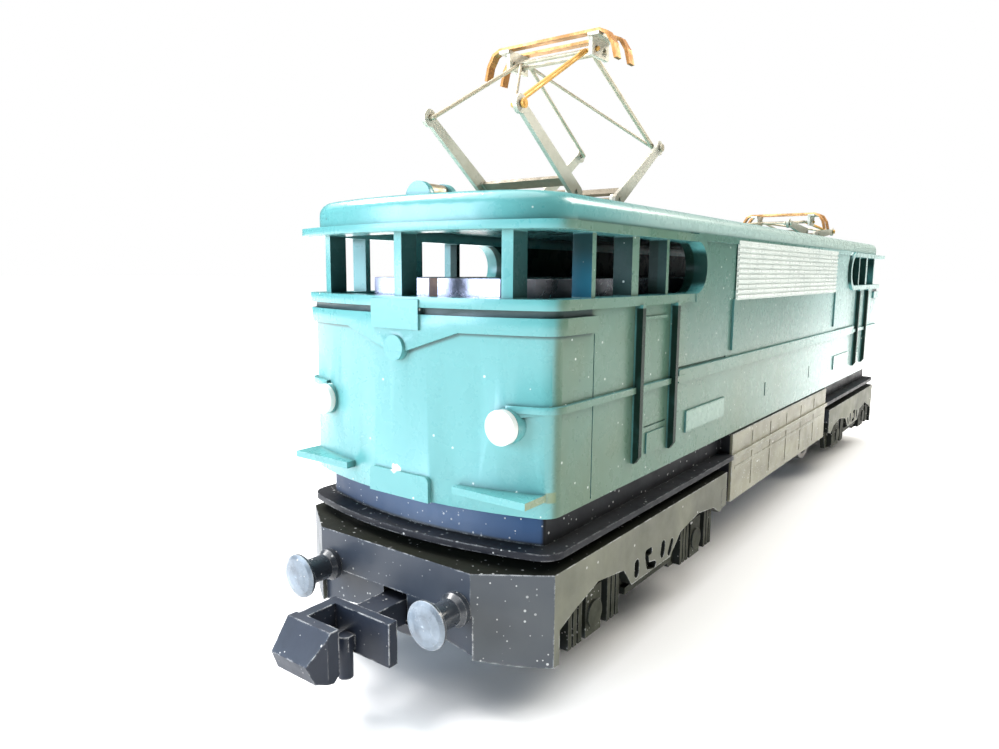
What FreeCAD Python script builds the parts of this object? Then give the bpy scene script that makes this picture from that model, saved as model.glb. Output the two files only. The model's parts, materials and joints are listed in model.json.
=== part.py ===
# Model electric locomotive, N gauge (1:160 body on 9 mm track).
# Frame: +X right-hand side, -Y front end, +Z up, origin on the rail-side floor under the middle of the body
# (z = 0 is the underside of the wheel flanges).
import FreeCAD, Part
import math
import os
import Sketcher

V = FreeCAD.Vector
doc = FreeCAD.newDocument("locomotive")
sheet = doc.addObject("Spreadsheet::Sheet", "dims")

DIMS = [
    # body shell
    ("half_width", 9.9), ("half_length", 46.9), ("front_bow", 1.39), ("corner_rad", 1.12), ("wall", 1.3),
    ("body_bottom", 12.0), ("roof_top", 30.02), ("roof_edge", 30.05), ("roof_round", 0.85), ("roof_lead", 0.4), ("roof_corner", 3.9), ("roof_half", 9.7),
    ("win_bottom", 24.15), ("win_top", 27.85), ("visor_top", 28.38), ("visor_proud", 0.45),
    ("sill_bottom", 23.55), ("sill_proud", 0.35),
    ("lamp_x", 7.4), ("lamp_z", 17.15), ("lamp_rad", 1.03), ("lens_rad", 1.0), ("lamp_front", 46.8),
    # underframe
    ("tray_bottom", 9.65), ("tray_top", 10.05), ("tank_half_len", 16.4), ("tank_half_wid", 10.0),
    ("tank_bottom", 5.8), ("tank_wall", 1.25), ("block_inset", 1.0),
    # chassis
    ("ch_gap", 0.35), ("ch_half", 8.2), ("ch_len", 42.0), ("ch_mid", 19.5), ("ch_top", 25.2), ("ch_nose", 43.8),
    ("ch_upper", 6.6), ("ch_low", 7.0), ("ch_low_len", 14.55),
    # motor
    ("shaft_z", 14.0), ("shaft_rad", 0.5), ("magnet_rad", 6.2), ("magnet_bore", 4.65), ("magnet_len", 13.0),
    ("core_rad", 4.4), ("core_len", 9.0), ("comm_rad", 1.7), ("bush_rad", 1.6), ("run_gap", 0.04),
    # bogies
    ("pivot_y", 32.2), ("axle_off", 8.1), ("axle_z", 4.8), ("tread_rad", 3.9), ("flange_rad", 4.8),
    ("back_half", 3.7), ("wheel_wid", 2.2), ("stub_rad", 0.75), ("muff_rad", 1.1), ("bogie_half", 10.2),
    ("bogie_top", 8.9), ("bogie_rear", 18.0), ("beam_y", 47.9), ("beam_half", 6.3), ("facet_y", 45.2),
    ("boss_rad", 5.2), ("cheek_in", 1.3), ("cheek_out", 2.6), ("pin_rad", 0.5),
    ("buffer_x", 5.35), ("buffer_z", 6.6), ("buffer_rad", 1.38), ("buffer_len", 2.8),
    # gears, module 0.3
    ("gear_mod", 0.3), ("teeth_axle", 16), ("teeth_idler", 11), ("teeth_mid", 16), ("teeth_wheel", 18), ("worm_rad", 1.4),
    # pantograph
    ("pan_y", 30.0), ("pan_z", 31.2), ("pan_base", 3.2), ("pan_lower", 8.2), ("pan_upper", 10.8), ("pan_apex", 0.6),
    ("pan_arm_x", 3.75), ("pan_head_x", 3.55), ("wire_rad", 0.15), ("raised_deg", 34.5), ("folded_deg", 5.0),
]
D = {}
for row, (alias, value) in enumerate(DIMS, start=1):
    sheet.set("A%d" % row, alias)
    sheet.set("B%d" % row, repr(value))
    sheet.setAlias("B%d" % row, alias)
    D[alias] = float(value)
doc.recompute()


def ev(e):
    # value of a size given as a number or as an expression in cell aliases
    return float(reckon(e)) if isinstance(e, str) else float(e)


def reckon(e):
    # small arithmetic reader: + - * / and brackets over numbers and aliases
    toks, i = [], 0
    while i < len(e):
        c = e[i]
        if c.isspace():
            i += 1
        elif c.isalpha():
            k = i
            while i < len(e) and (e[i].isalnum() or e[i] == "_"):
                i += 1
            toks.append(D[e[k:i]])
        elif c.isdigit() or c == ".":
            k = i
            while i < len(e) and (e[i].isdigit() or e[i] == "."):
                i += 1
            toks.append(float(e[k:i]))
        else:
            toks.append(c)
            i += 1
    pos = [0]

    def atom():
        t = toks[pos[0]]
        pos[0] += 1
        if t == "(":
            v = expr()
            pos[0] += 1
            return v
        if t == "-":
            return -atom()
        if t == "+":
            return atom()
        return t

    def term():
        v = atom()
        while pos[0] < len(toks) and toks[pos[0]] in ("*", "/"):
            op = toks[pos[0]]
            pos[0] += 1
            w = atom()
            v = v * w if op == "*" else v / w
        return v

    def expr():
        v = term()
        while pos[0] < len(toks) and toks[pos[0]] in ("+", "-"):
            op = toks[pos[0]]
            pos[0] += 1
            w = term()
            v = v + w if op == "+" else v - w
        return v

    return expr()


def fx(e):
    # the same size as an expression for a property: aliases read from the sheet
    if not isinstance(e, str):
        return "%.6f" % e
    out, i = "", 0
    while i < len(e):
        if e[i].isalpha():
            k = i
            while i < len(e) and (e[i].isalnum() or e[i] == "_"):
                i += 1
            out += "dims." + e[k:i]
        else:
            out += e[i]
            i += 1
    return out


count = [0]


def nm(base):
    count[0] += 1
    return "%s_%d" % (base, count[0])


def bx(x0, x1, y0, y1, z0, z1):
    # box between two corners
    o = doc.addObject("Part::Box", nm("box"))
    for prop, axis, lo, hi in (("Length", "x", x0, x1), ("Width", "y", y0, y1), ("Height", "z", z0, z1)):
        o.setExpression(prop, "(%s) - (%s)" % (fx(hi), fx(lo)))
        o.setExpression("Placement.Base." + axis, fx(lo))
    return o


ROT = {"z": FreeCAD.Rotation(), "x": FreeCAD.Rotation(V(0, 1, 0), 90), "y": FreeCAD.Rotation(V(1, 0, 0), -90)}


def cyl(r, length, x, y, z, axis="z"):
    # cylinder from a start point along +axis
    o = doc.addObject("Part::Cylinder", nm("cyl"))
    o.setExpression("Radius", fx(r))
    o.setExpression("Height", fx(length))
    o.Placement = FreeCAD.Placement(V(0, 0, 0), ROT[axis])
    for a, v in (("x", x), ("y", y), ("z", z)):
        o.setExpression("Placement.Base." + a, fx(v))
    return o


def fuse(*objs):
    o = doc.addObject("Part::MultiFuse", nm("fuse"))
    o.Shapes = list(objs)
    return o


def group(*objs):
    o = doc.addObject("Part::Compound", nm("group"))
    o.Links = list(objs)
    return o


def cut(a, *tools):
    t = tools[0] if len(tools) == 1 else fuse(*tools)
    o = doc.addObject("Part::Cut", nm("cut"))
    o.Base = a
    o.Tool = t
    return o


def common(a, b):
    o = doc.addObject("Part::Common", nm("common"))
    o.Base = a
    o.Tool = b
    return o


def feat(shape, base="shape"):
    o = doc.addObject("Part::Feature", nm(base))
    o.Shape = shape
    return o


def place(o, x=0.0, y=0.0, z=0.0, rot=None):
    o.Placement = FreeCAD.Placement(V(ev(x), ev(y), ev(z)), rot or FreeCAD.Rotation())
    return o


def plane_of(body, role):
    for f in body.Origin.OriginFeatures:
        if f.Role == role:
            return f


def profile(body, pts, role="XY_Plane"):
    # closed polygon sketch; every corner tied to the sheet, all coordinates zero or positive
    sk = body.newObject("Sketcher::SketchObject", nm("sketch"))
    sk.AttachmentSupport = [(plane_of(body, role), "")]
    sk.MapMode = "FlatFace"
    n = len(pts)
    num = [(ev(a), ev(b)) for a, b in pts]
    for i in range(n):
        a, b = num[i], num[(i + 1) % n]
        sk.addGeometry(Part.LineSegment(V(a[0], a[1], 0), V(b[0], b[1], 0)), False)
    for i in range(n):
        sk.addConstraint(Sketcher.Constraint("Coincident", i, 2, (i + 1) % n, 1))
    for i in range(n):
        for kind, k, other in (("DistanceX", 0, -2), ("DistanceY", 1, -1)):
            if abs(num[i][k]) < 1e-9:
                sk.addConstraint(Sketcher.Constraint("PointOnObject", i, 1, other))
            else:
                c = sk.addConstraint(Sketcher.Constraint(kind, -1, 1, i, 1, num[i][k]))
                sk.setExpression("Constraints[%d]" % c, fx(pts[i][k]))
    return sk


def rev(pts):
    # turned piece: profile of (radius, distance along the axis); the axis is the sketch's vertical
    body = doc.addObject("PartDesign::Body", nm("body"))
    sk = profile(body, pts)
    r = body.newObject("PartDesign::Revolution", nm("turn"))
    r.Profile = sk
    r.ReferenceAxis = (sk, ["V_Axis"])
    r.Angle = 360.0
    body.Tip = r
    sk.Visibility = False
    return body


def pad(pts, length, role="XY_Plane"):
    body = doc.addObject("PartDesign::Body", nm("body"))
    sk = profile(body, pts, role)
    p = body.newObject("PartDesign::Pad", nm("pad"))
    p.Profile = sk
    p.setExpression("Length", fx(length))
    body.Tip = p
    return body


# sketch vertical (+Y of the plane) is already the locomotive's length; these turn it to the other axes
ALONG_X = FreeCAD.Rotation(V(0, 0, 1), -90)      # sketch +Y -> world +X
ALONG_MX = FreeCAD.Rotation(V(0, 0, 1), 90)      # sketch +Y -> world -X
ALONG_MY = FreeCAD.Rotation(V(0, 0, 1), 180)     # sketch +Y -> world -Y
ALONG_Z = FreeCAD.Rotation(V(1, 0, 0), 90)       # sketch +Y -> world +Z

NODES = {}


def node(name, obj):
    obj.Label = name
    NODES[name] = obj
    return obj


# ------------------------------------------------------------------ outline helpers (bowed ends, rounded corners)
W, HL, BOW, RC = D["half_width"], D["half_length"], D["front_bow"], D["corner_rad"]
XC = W - RC
RF = (XC * XC + BOW * BOW) / (2 * BOW)
YF = -HL + RF
YQ = YF - math.sqrt((RF - RC) ** 2 - XC ** 2)


def outline(off, z, half=None, corner=None):
    # parallel curve of the body's plan; far inside, the corner keeps a small radius
    # half and corner, if given, replace the half width and the corner radius
    r, q = RF + off, corner or max(RC + off, 0.3)
    half = half or W + off
    xc = half - q
    yq = YF - math.sqrt((r - q) ** 2 - xc ** 2)
    t = math.atan2(yq - YF, xc)
    tp = (r * math.cos(t), YF + r * math.sin(t))
    mid = (xc + q * math.cos(t / 2), yq + q * math.sin(t / 2))
    def p(x, y):
        return V(x, y, z)
    e = [
        Part.Arc(p(half, yq), p(*mid), p(*tp)).toShape(),
        Part.Arc(p(*tp), p(0, -HL - off), p(-tp[0], tp[1])).toShape(),
        Part.Arc(p(-tp[0], tp[1]), p(-mid[0], mid[1]), p(-half, yq)).toShape(),
        Part.LineSegment(p(-half, yq), p(-half, -yq)).toShape(),
        Part.Arc(p(-half, -yq), p(-mid[0], -mid[1]), p(-tp[0], -tp[1])).toShape(),
        Part.Arc(p(-tp[0], -tp[1]), p(0, HL + off), p(tp[0], -tp[1])).toShape(),
        Part.Arc(p(tp[0], -tp[1]), p(mid[0], -mid[1]), p(half, -yq)).toShape(),
        Part.LineSegment(p(half, -yq), p(half, yq)).toShape(),
    ]
    return Part.Wire(e)


def ring(off, z0, z1):
    return Part.Face(outline(off, z0)).extrude(V(0, 0, z1 - z0))


def B(x0, x1, y0, y1, z0, z1):
    return Part.makeBox(x1 - x0, y1 - y0, z1 - z0, V(x0, y0, z0))


def C(r, length, x, y, z, d):
    return Part.makeCylinder(r, length, V(x, y, z), d)


def poly(pts, vec):
    w = Part.makePolygon([V(*p) for p in pts] + [V(*pts[0])])
    return Part.Face(w).extrude(V(*vec))


def both_sides(s):
    return [s, s.mirror(V(0, 0, 0), V(1, 0, 0))]


def four(shapes):
    # a feature of the right front corner, copied to the left side and to the other end
    out = []
    for s in shapes:
        for m in both_sides(s):
            out += [m, m.mirror(V(0, 0, 0), V(0, 1, 0))]
    return out


def ends(shapes):
    out = []
    for s in shapes:
        out += [s, s.mirror(V(0, 0, 0), V(0, 1, 0))]
    return out


def turned(s):
    c = s.copy()
    c.rotate(V(0, 0, 0), V(0, 0, 1), 180)
    return c


# ------------------------------------------------------------------ body shell
zb, zt = D["body_bottom"], D["visor_top"]
roof = Part.Face(outline(D["roof_lead"], 27.9, D["roof_half"], D["roof_corner"])).extrude(V(0, 0, 3.5))
crown = Part.Face(Part.Wire([
    Part.Arc(V(-10.6, -55, D["roof_edge"] - 0.08), V(0, -55, D["roof_top"]), V(10.6, -55, D["roof_edge"] - 0.08)).toShape(),
    Part.LineSegment(V(10.6, -55, D["roof_edge"] - 0.08), V(10.6, -55, 26)).toShape(),
    Part.LineSegment(V(10.6, -55, 26), V(-10.6, -55, 26)).toShape(),
    Part.LineSegment(V(-10.6, -55, 26), V(-10.6, -55, D["roof_edge"] - 0.08)).toShape(),
])).extrude(V(0, 110, 0))
roof = roof.common(crown)
top_edges = []
for e in roof.Edges:
    zmin = min(v.Z for v in e.Vertexes)
    if zmin > 29.0:
        top_edges.append(e)
roof = roof.makeFillet(D["roof_round"], top_edges)
shell = ring(0.0, zb, 28.0).fuse(roof)
shell = shell.cut(ring(-D["wall"], zb - 1, 28.6))

add = []
# sill and visor bands round each cab, ending in a rounded frame behind the last window
wz0, wz1 = D["win_bottom"], D["win_top"]
end_y, end_z, end_r = -26.75, (wz0 + wz1) / 2, (wz1 - wz0) / 2
cab = B(-12, 12, -50, end_y, 10, 32)
add.append(ring(D["visor_proud"], wz1, zt).common(cab))
add.append(ring(0.8, wz1 + 0.03, zt - 0.03).common(B(-12, 12, -50, YQ, 10, 32)))
for sx in (1, -1):
    add.append(poly([(sx * 9.8, YQ, wz1 + 0.05), (sx * 10.7, YQ, wz1 + 0.05), (sx * 10.35, YQ + 2.2, wz1 + 0.05), (sx * 9.8, YQ + 2.2, wz1 + 0.05)], (0, 0, zt - wz1 - 0.1)))
add.append(ring(D["sill_proud"], D["sill_bottom"], wz0).common(cab))
frame_end = C(end_r + 0.62, 0.45, 9.85, end_y, end_z, V(1, 0, 0)).common(B(9, 11, end_y, end_y + 4, 20, 32))
frame_end = frame_end.cut(C(end_r, 2, 9.5, end_y, end_z, V(1, 0, 0)))
add += both_sides(frame_end)
# gutter line along the roof
gutter = ring(0.2, 28.0, 28.5).common(B(-12, 12, -26.8, 26.8, 10, 32))
# moustache moulding with its V-shaped middle, centre plate and round badge boss
mou = poly([(-12, -50, 22.2), (-4.5, -50, 22.2), (-0.9, -50, 21.0), (0.9, -50, 21.0), (4.5, -50, 22.2), (12, -50, 22.2), (12, -50, 23.15), (-12, -50, 23.15)], (0, 9.0, 0))
add.append(ring(0.3, 20.0, 24.0).common(mou))
add.append(B(-1.92, 1.92, -47.3, -46, 22.25, 24.0))
add.append(C(0.77, 1.6, 0, -47.42, 21.12, V(0, 1, 0)))
# lamp housings with recess for the lens, and the bracket that runs round the corner into the belt
for sx in (1, -1):
    add.append(C(D["lamp_rad"], 2.0, sx * D["lamp_x"], -D["lamp_front"] + 0.45, D["lamp_z"], V(0, 1, 0)))
strip = ring(0.3, 17.94, 18.34).common(B(-12, 12, -50, -28, 10, 32)).cut(B(-7.4, 7.4, -60, -30, 10, 32))
add.append(strip)
# a wedge that joins the lamp to the strip
for sx in (1, -1):
    add.append(poly([(sx * 7.4, -46.3, 17.55), (sx * 7.4, -44.5, 17.55), (sx * 9.7, -44.5, 17.95), (sx * 9.7, -45.3, 17.95)], (0, 0, 0.42)))
# steps under the lamps and the bottom centre flap
for sx in (1, -1):
    add.append(B(min(sx * 4.4, sx * 9.5), max(sx * 4.4, sx * 9.5), -47.25, -44.9, 13.0, 13.42))
flap = B(-2.45, 2.45, -47.12, -46.0, 12.0, 13.55)
flap = flap.makeFillet(0.35, [e for e in flap.Edges if abs(e.Vertexes[0].X - e.Vertexes[-1].X) < 1e-6 and abs(e.Vertexes[0].Z - e.Vertexes[-1].Z) < 1e-6 and e.Vertexes[0].Z > 13])
add.append(flap)
# cab door handrails, door details and number panel, right side then mirrored
side = []
for yc, z0 in ((-35.55, 13.3), (-30.1, 13.3)):
    fin = poly([(9.7, yc - 0.22, z0), (10.15, yc - 0.22, z0), (10.45, yc - 0.22, z0 + 0.45), (10.45, yc - 0.22, 23.6), (9.7, yc - 0.22, 23.6)], (0, 0.44, 0))
    side.append(fin)
side.append(B(9.8, 10.02, -33.7, -30.9, 13.55, 14.95))
side.append(B(9.8, 10.05, -34.6, -31.0, 22.6, 22.8))
side.append(B(9.8, 10.05, -27.1, -19.1, 13.85, 15.5))
side.append(B(9.8, 10.1, -18.05, -17.55, 19.3, 23.5))
add_side = side
belt = ring(0.27, 17.8, 18.75).common(B(-12, 12, -29.0, 29.0, 10, 32))
louvre = [B(9.8, 10.0, -17.6, 17.6, 23.45, 28.3)]
for k in range(11):
    louvre.append(B(9.9, 10.13, -17.45, 17.45, 23.58 + 0.43 * k, 23.80 + 0.43 * k))
# roof horn lugs
for yy in (-45.15, -43.0):
    add.append(C(1.02, 0.42, 0, yy, 29.95, V(0, 1, 0)).common(B(-2, 2, -50, -40, 29.6, 32)))
allpos = [gutter, belt] + ends(add) + four(add_side)
for s in louvre:
    allpos += both_sides(s)
shell = shell.multiFuse(allpos)

neg = []
for x0, x1 in ((0.3, 6.95), (7.6, 12.0)):
    neg.append(B(x0, x1, -48.5, -41.4 if x0 > 7 else -44.0, wz0, wz1))
for y0, y1 in ((-40.95, -36.4), (-35.45, -31.3), (-30.9, end_y)):
    neg.append(B(8.0, 12.0, y0, y1, wz0, wz1))
neg.append(C(end_r, 4.0, 8.0, end_y, end_z, V(1, 0, 0)))
# panel joints scored in the sides
neg.append(B(9.84, 10.0, -40.97, -40.87, 12.2, 22.1))
neg.append(B(9.8, 10.4, -28.9, -19.0, 18.78, 18.92))
neg.append(B(9.82, 10.0, -34.0, -30.6, 15.35, 15.47))
neg.append(B(9.7, 10.0, -8.05, -7.75, 14.1, 15.4))
negs = four(neg)
for sx in (1, -1):
    for sy in (1, -1):
        negs.append(C(0.6, 0.6, sx * D["lamp_x"], sy * (D["lamp_front"] - 0.45) - (0.6 if sy > 0 else 0.0), D["lamp_z"], V(0, 1, 0)))
negs.append(ring(-D["wall"], zb - 1, 28.6))
# seats in the roof for the horn tubes
negs.append(C(0.64, 1.73, 0, -44.73, 30.28, V(0, 1, 0)))
negs.append(C(0.64, 1.73, 0, 43.0, 30.28, V(0, 1, 0)))
shell = shell.cut(Part.makeCompound(negs))
shell = shell.removeSplitter()
node("body_shell", feat(shell, "shell"))

# lamp lenses, white discs with a stem pressed in the housings
for end, sy in (("front", -1), ("rear", 1)):
    discs = []
    for sx in (-1, 1):
        b = rev([(0, 0), (0.6, 0), (0.6, 0.6), ("lens_rad", 0.6), ("lens_rad", 1.0), ("lens_rad - 0.15", 1.12), (0, 1.16)])
        place(b, sx * D["lamp_x"], sy * (D["lamp_front"] - 1.05), "lamp_z", ALONG_MY if sy < 0 else FreeCAD.Rotation())
        discs.append(b)
    node("headlight_lenses_" + end, group(*discs))

# horn tubes between the lugs, one on each end of the roof
tubes = []
for sy in (-1, 1):
    b = rev([(0.3, 0), (0.62, 0), (0.62, 1.73), (0.3, 1.73)])
    place(b, 0, -44.73 if sy < 0 else 43.0, 30.28)
    tubes.append(b)
node("roof_horn_tubes", group(*tubes))

# ------------------------------------------------------------------ underframe: slab, tray edge and tank between the bogies
slab = feat(ring(-D["block_inset"], D["tray_top"] - 0.05, D["body_bottom"]), "slab")
tray = feat(ring(0.3, D["tray_bottom"], D["tray_top"]), "tray")
tank = bx("-tank_half_wid", "tank_half_wid", "-tank_half_len", "tank_half_len", "tank_bottom", "body_bottom - 0.15")
hollow = bx("-(tank_half_wid - tank_wall)", "tank_half_wid - tank_wall", "-(tank_half_len - tank_wall)", "tank_half_len - tank_wall", "tank_bottom + 0.9", "body_bottom + 1")
ribs = []
for yy in (-11.0, -5.5, 0.0, 5.5, 11.0):
    for sx in (-1, 1):
        ribs.append(bx(sx * 10.0 - 0.05, sx * 10.0 + 0.05, yy - 0.15, yy + 0.15, 6.3, 11.3))
for sx in (-1, 1):
    ribs.append(bx(sx * 10.0 - 0.05, sx * 10.0 + 0.05, -15.6, 15.6, 8.6, 8.85))
holes = []
for sy in (-1, 1):
    holes.append(cyl("boss_rad + 0.08", 4, 0, sy * D["pivot_y"], 9, "z"))
    # step that holds the bogie's snap lugs, and wells over the wheels with room to swivel
    holes.append(cyl("boss_rad + 0.85", 2, 0, sy * D["pivot_y"], 11.2, "z"))
    for sx in (-1, 1):
        for dy in (-1, 1):
            holes.append(cyl("flange_rad + 0.8", 5.1, 2.3 if sx > 0 else -7.4, sy * D["pivot_y"] + dy * D["axle_off"], "axle_z", "x"))
for sx in (-1, 1):
    for sy in (-1, 1):
        holes.append(cyl(0.75, 4, sx * 5.5, sy * 20.5, 9, "z"))
        holes.append(cyl(1.3, 0.9, sx * 5.5, sy * 20.5, 9.5, "z"))
node("underframe", cut(fuse(slab, tray, tank, *ribs), hollow, *holes))

# ------------------------------------------------------------------ split die-cast chassis with an insulating strip between the halves
def chassis(x0, x1, xu, name):
    main = bx(x0, x1, "-ch_len", "ch_len", "body_bottom", "ch_mid")
    upper = pad([(0, "0"), ("ch_nose * 2", 0), ("ch_nose * 2", "ch_upper - ch_gap - 1.4"), ("ch_nose * 2 - 1.6", "ch_upper - ch_gap"), (1.6, "ch_upper - ch_gap"), (0, "ch_upper - ch_gap - 1.4")], "ch_top - ch_mid + 0.1") if xu else bx(x0, x1, "-ch_nose", "ch_nose", "ch_mid - 0.1", "ch_top")
    if xu:
        # profile drawn with its length along X: turn it onto the locomotive's length
        if xu > 0:
            # x' = gap + y, y' = nose - x
            place(upper, "ch_gap", "ch_nose", "ch_mid - 0.1", FreeCAD.Rotation(V(0, 0, 1), -90))
        else:
            place(upper, "-ch_gap", "-ch_nose", "ch_mid - 0.1", FreeCAD.Rotation(V(0, 0, 1), 90))
    low = bx(x0, x1, "-ch_low_len", "ch_low_len", "ch_low", "body_bottom + 0.1")
    tools = [
        cyl("magnet_rad + 0.03", 19.4, 0, -9.7, "shaft_z", "y"),
        cyl("bush_rad", 21.6, 0, -10.8, "shaft_z", "y"),
        cyl(0.95, 50.3, 0, -38.0, "shaft_z", "y"),
        bx(-2.9, 2.9, -38.3, -27.0, 11, 16.4),
        cyl("boss_rad + 0.3", 1.4, 0, "-pivot_y", 11.9, "z"),
        cyl("boss_rad + 0.3", 1.4, 0, "pivot_y", 11.9, "z"),
        bx(-4.6, 4.6, 5.2, 8.2, 11.6, 16.4),
    ]
    for sx in (-1, 1):
        for sy in (-1, 1):
            tools.append(cyl(0.75, 8, sx * 5.5, sy * 20.5, 9, "z"))
    return node(name, cut(fuse(main, upper, low), *tools))


chassis("ch_gap", "ch_half", 1, "chassis_right")
chassis("-ch_half", "-ch_gap", -1, "chassis_left")
chassis("-ch_gap", "ch_gap", 0, "insulating_strip")

# chassis screws: countersunk from below through the tray
screws = []
for sx in (-1, 1):
    for sy in (-1, 1):
        b = rev([(0, 0.22), (0.35, 0.22), (0.35, 0), (1.25, 0), (1.25, 0.35), (0.75, 0.75), (0.75, 6.6), (0, 6.9)])
        place(b, sx * 5.5, sy * 20.5, 9.65, ALONG_Z)
        screws.append(b)
node("chassis_screws", group(*screws))

# ------------------------------------------------------------------ motor
m = []
for sx in (-1, 1):
    tube = cut(cyl("magnet_rad", "magnet_len", 0, "-magnet_len / 2", "shaft_z", "y"), cyl("magnet_bore", 20, 0, -10, "shaft_z", "y"))
    wedge = bx(1.2 if sx > 0 else -8.0, 8.0 if sx > 0 else -1.2, -10, 10, 6, 22)
    m.append(common(tube, wedge))
node("motor_magnets", group(*m))

bushes = []
for y0 in (-10.75, 9.75):
    b = rev([("shaft_rad + run_gap", 0), ("bush_rad", 0), ("bush_rad", 1.0), ("shaft_rad + run_gap", 1.0)])
    place(b, 0, y0, "shaft_z")
    bushes.append(b)
node("motor_bearings", group(*bushes))

shaft = rev([(0, 0), ("shaft_rad - 0.1", 0), ("shaft_rad", 0.2), ("shaft_rad", 48.2), ("shaft_rad - 0.1", 48.4), (0, 48.4)])
node("motor_shaft", place(shaft, 0, -37.0, "shaft_z"))

core = cut(cyl("core_rad", "core_len", 0, "-core_len / 2 - 1.5", "shaft_z", "y"), cyl("shaft_rad", 20, 0, -10, "shaft_z", "y"))
slots = []
for k in range(3):
    s2 = fuse(feat(Part.makeBox(0.9, 20, 4, V(-0.45, -10, 1.6)), "slot"), feat(Part.makeCylinder(1.15, 20, V(0, -10, 2.6), V(0, 1, 0)), "slot"))
    s2.Placement = FreeCAD.Placement(V(0, 0, D["shaft_z"]), FreeCAD.Rotation(V(0, 1, 0), 120 * k))
    slots.append(s2)
node("armature_core", cut(core, *slots))

# copper windings: saddle coils over the three poles, kept as three end-to-end bundles in the slots
coils = []
for k in range(3):
    ring_seg = Part.makeCylinder(1.14, 10.6, V(0, -6.8, 2.6), V(0, 1, 0))
    c = feat(ring_seg, "coil")
    c.Placement = FreeCAD.Placement(V(0, 0, D["shaft_z"]), FreeCAD.Rotation(V(0, 1, 0), 120 * k))
    coils.append(c)
node("armature_windings", group(*coils))

comm = rev([("shaft_rad", 0), ("comm_rad + 0.6", 0), ("comm_rad + 0.6", 0.3), ("comm_rad", 0.3), ("comm_rad", 2.9), ("shaft_rad", 2.9)])
node("commutator", place(comm, 0, 5.1, "shaft_z"))

# carbon brushes and their leaf springs, one each side of the commutator
br, sp = [], []
for sx in (-1, 1):
    x0 = D["comm_rad"] + 0.03
    br.append(bx(min(sx * x0, sx * (x0 + 1.3)), max(sx * x0, sx * (x0 + 1.3)), 5.9, 7.4, 13.3, 14.7))
    xs = x0 + 1.3
    leaf = poly([(sx * xs, 5.9, 13.5), (sx * (xs + 0.15), 5.9, 13.5), (sx * (xs + 1.1), 8.0, 13.5), (sx * (xs + 0.95), 8.0, 13.5)], (0, 0, 1.0))
    sp.append(feat(leaf, "leaf"))
node("brushes", group(*br))
node("brush_springs", group(*sp))


# ------------------------------------------------------------------ gears
MOD = D["gear_mod"]


def gear(teeth, width, first, y, z, stub=0.0, bore=0.0):
    # spur gear on an X axis; one tooth centre at angle `first` (degrees from +Y towards +Z)
    r = MOD * teeth / 2.0
    ro, ri = r + 0.75 * MOD, r - 1.1 * MOD
    p = 2 * math.pi / teeth
    pts = []
    for k in range(teeth):
        a = math.radians(first) + k * p
        for da, rad in ((-0.30 * p, ri), (-0.10 * p, ro), (0.10 * p, ro), (0.30 * p, ri)):
            pts.append((-width / 2, y + rad * math.cos(a + da), z + rad * math.sin(a + da)))
    s = poly(pts, (width, 0, 0))
    if stub:
        s = s.fuse(C(D["pin_rad"] - 0.04, 2 * stub, -stub, y, z, V(1, 0, 0)))
    if bore:
        s = s.cut(C(bore, 20, -10, y, z, V(1, 0, 0)))
    return s


PY, AZ = -D["pivot_y"], D["axle_z"]
r_ax, r_id, r_mid, r_wh = (MOD * D[k] / 2 for k in ("teeth_axle", "teeth_idler", "teeth_mid", "teeth_wheel"))
y_id = r_mid + r_id
zw = AZ + r_mid + r_wh
half_w = 180.0 / D["teeth_wheel"]
half_a = 180.0 / D["teeth_axle"]
half_i = 180.0 / D["teeth_idler"]
CO = D["cheek_out"]
node("worm_wheel", feat(gear(int(D["teeth_wheel"]), 1.2, 90 + half_w, PY, zw, CO - 0.02), "gear"))
node("middle_gear", feat(gear(int(D["teeth_mid"]), 1.8, 90, PY, AZ, CO - 0.02), "gear"))
node("idler_gear_outer", feat(gear(int(D["teeth_idler"]), 1.8, 0 + half_i, PY - y_id, AZ, CO - 0.02), "gear"))
node("idler_gear_inner", feat(gear(int(D["teeth_idler"]), 1.8, 180 + half_i, PY + y_id, AZ, CO - 0.02), "gear"))

# worm: one right-hand thread, its crest under the shaft exactly over a gap of the worm wheel
pitch = math.pi * MOD
wr = D["worm_rad"]
length = 5.2
turns_len = length - 0.4
core_w = Part.makeCylinder(wr - 1.05 * MOD, length + 0.8, V(0, 0, -0.4), V(0, 0, 1))
helix = Part.makeHelix(pitch, turns_len, wr - 1.15 * MOD)
rr0, rr1 = wr - 1.15 * MOD, wr + 0.7 * MOD
prof = Part.makePolygon([V(rr0, 0, -0.23), V(rr1, 0, -0.09), V(rr1, 0, 0.09), V(rr0, 0, 0.23), V(rr0, 0, -0.23)])
thread = Part.Wire(helix).makePipeShell([prof], True, True)
worm = core_w.fuse(thread)
worm = worm.cut(Part.makeCylinder(D["shaft_rad"], 20, V(0, 0, -5), V(0, 0, 1)))
worm.rotate(V(0, 0, 0), V(1, 0, 0), -90)
# thread faces down (-Z) at start + pitch/4 + n*pitch
n_turn = 2
start = PY - pitch / 4 - n_turn * pitch
worm.translate(V(0, start, D["shaft_z"]))
node("worm", feat(worm, "worm"))

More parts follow.
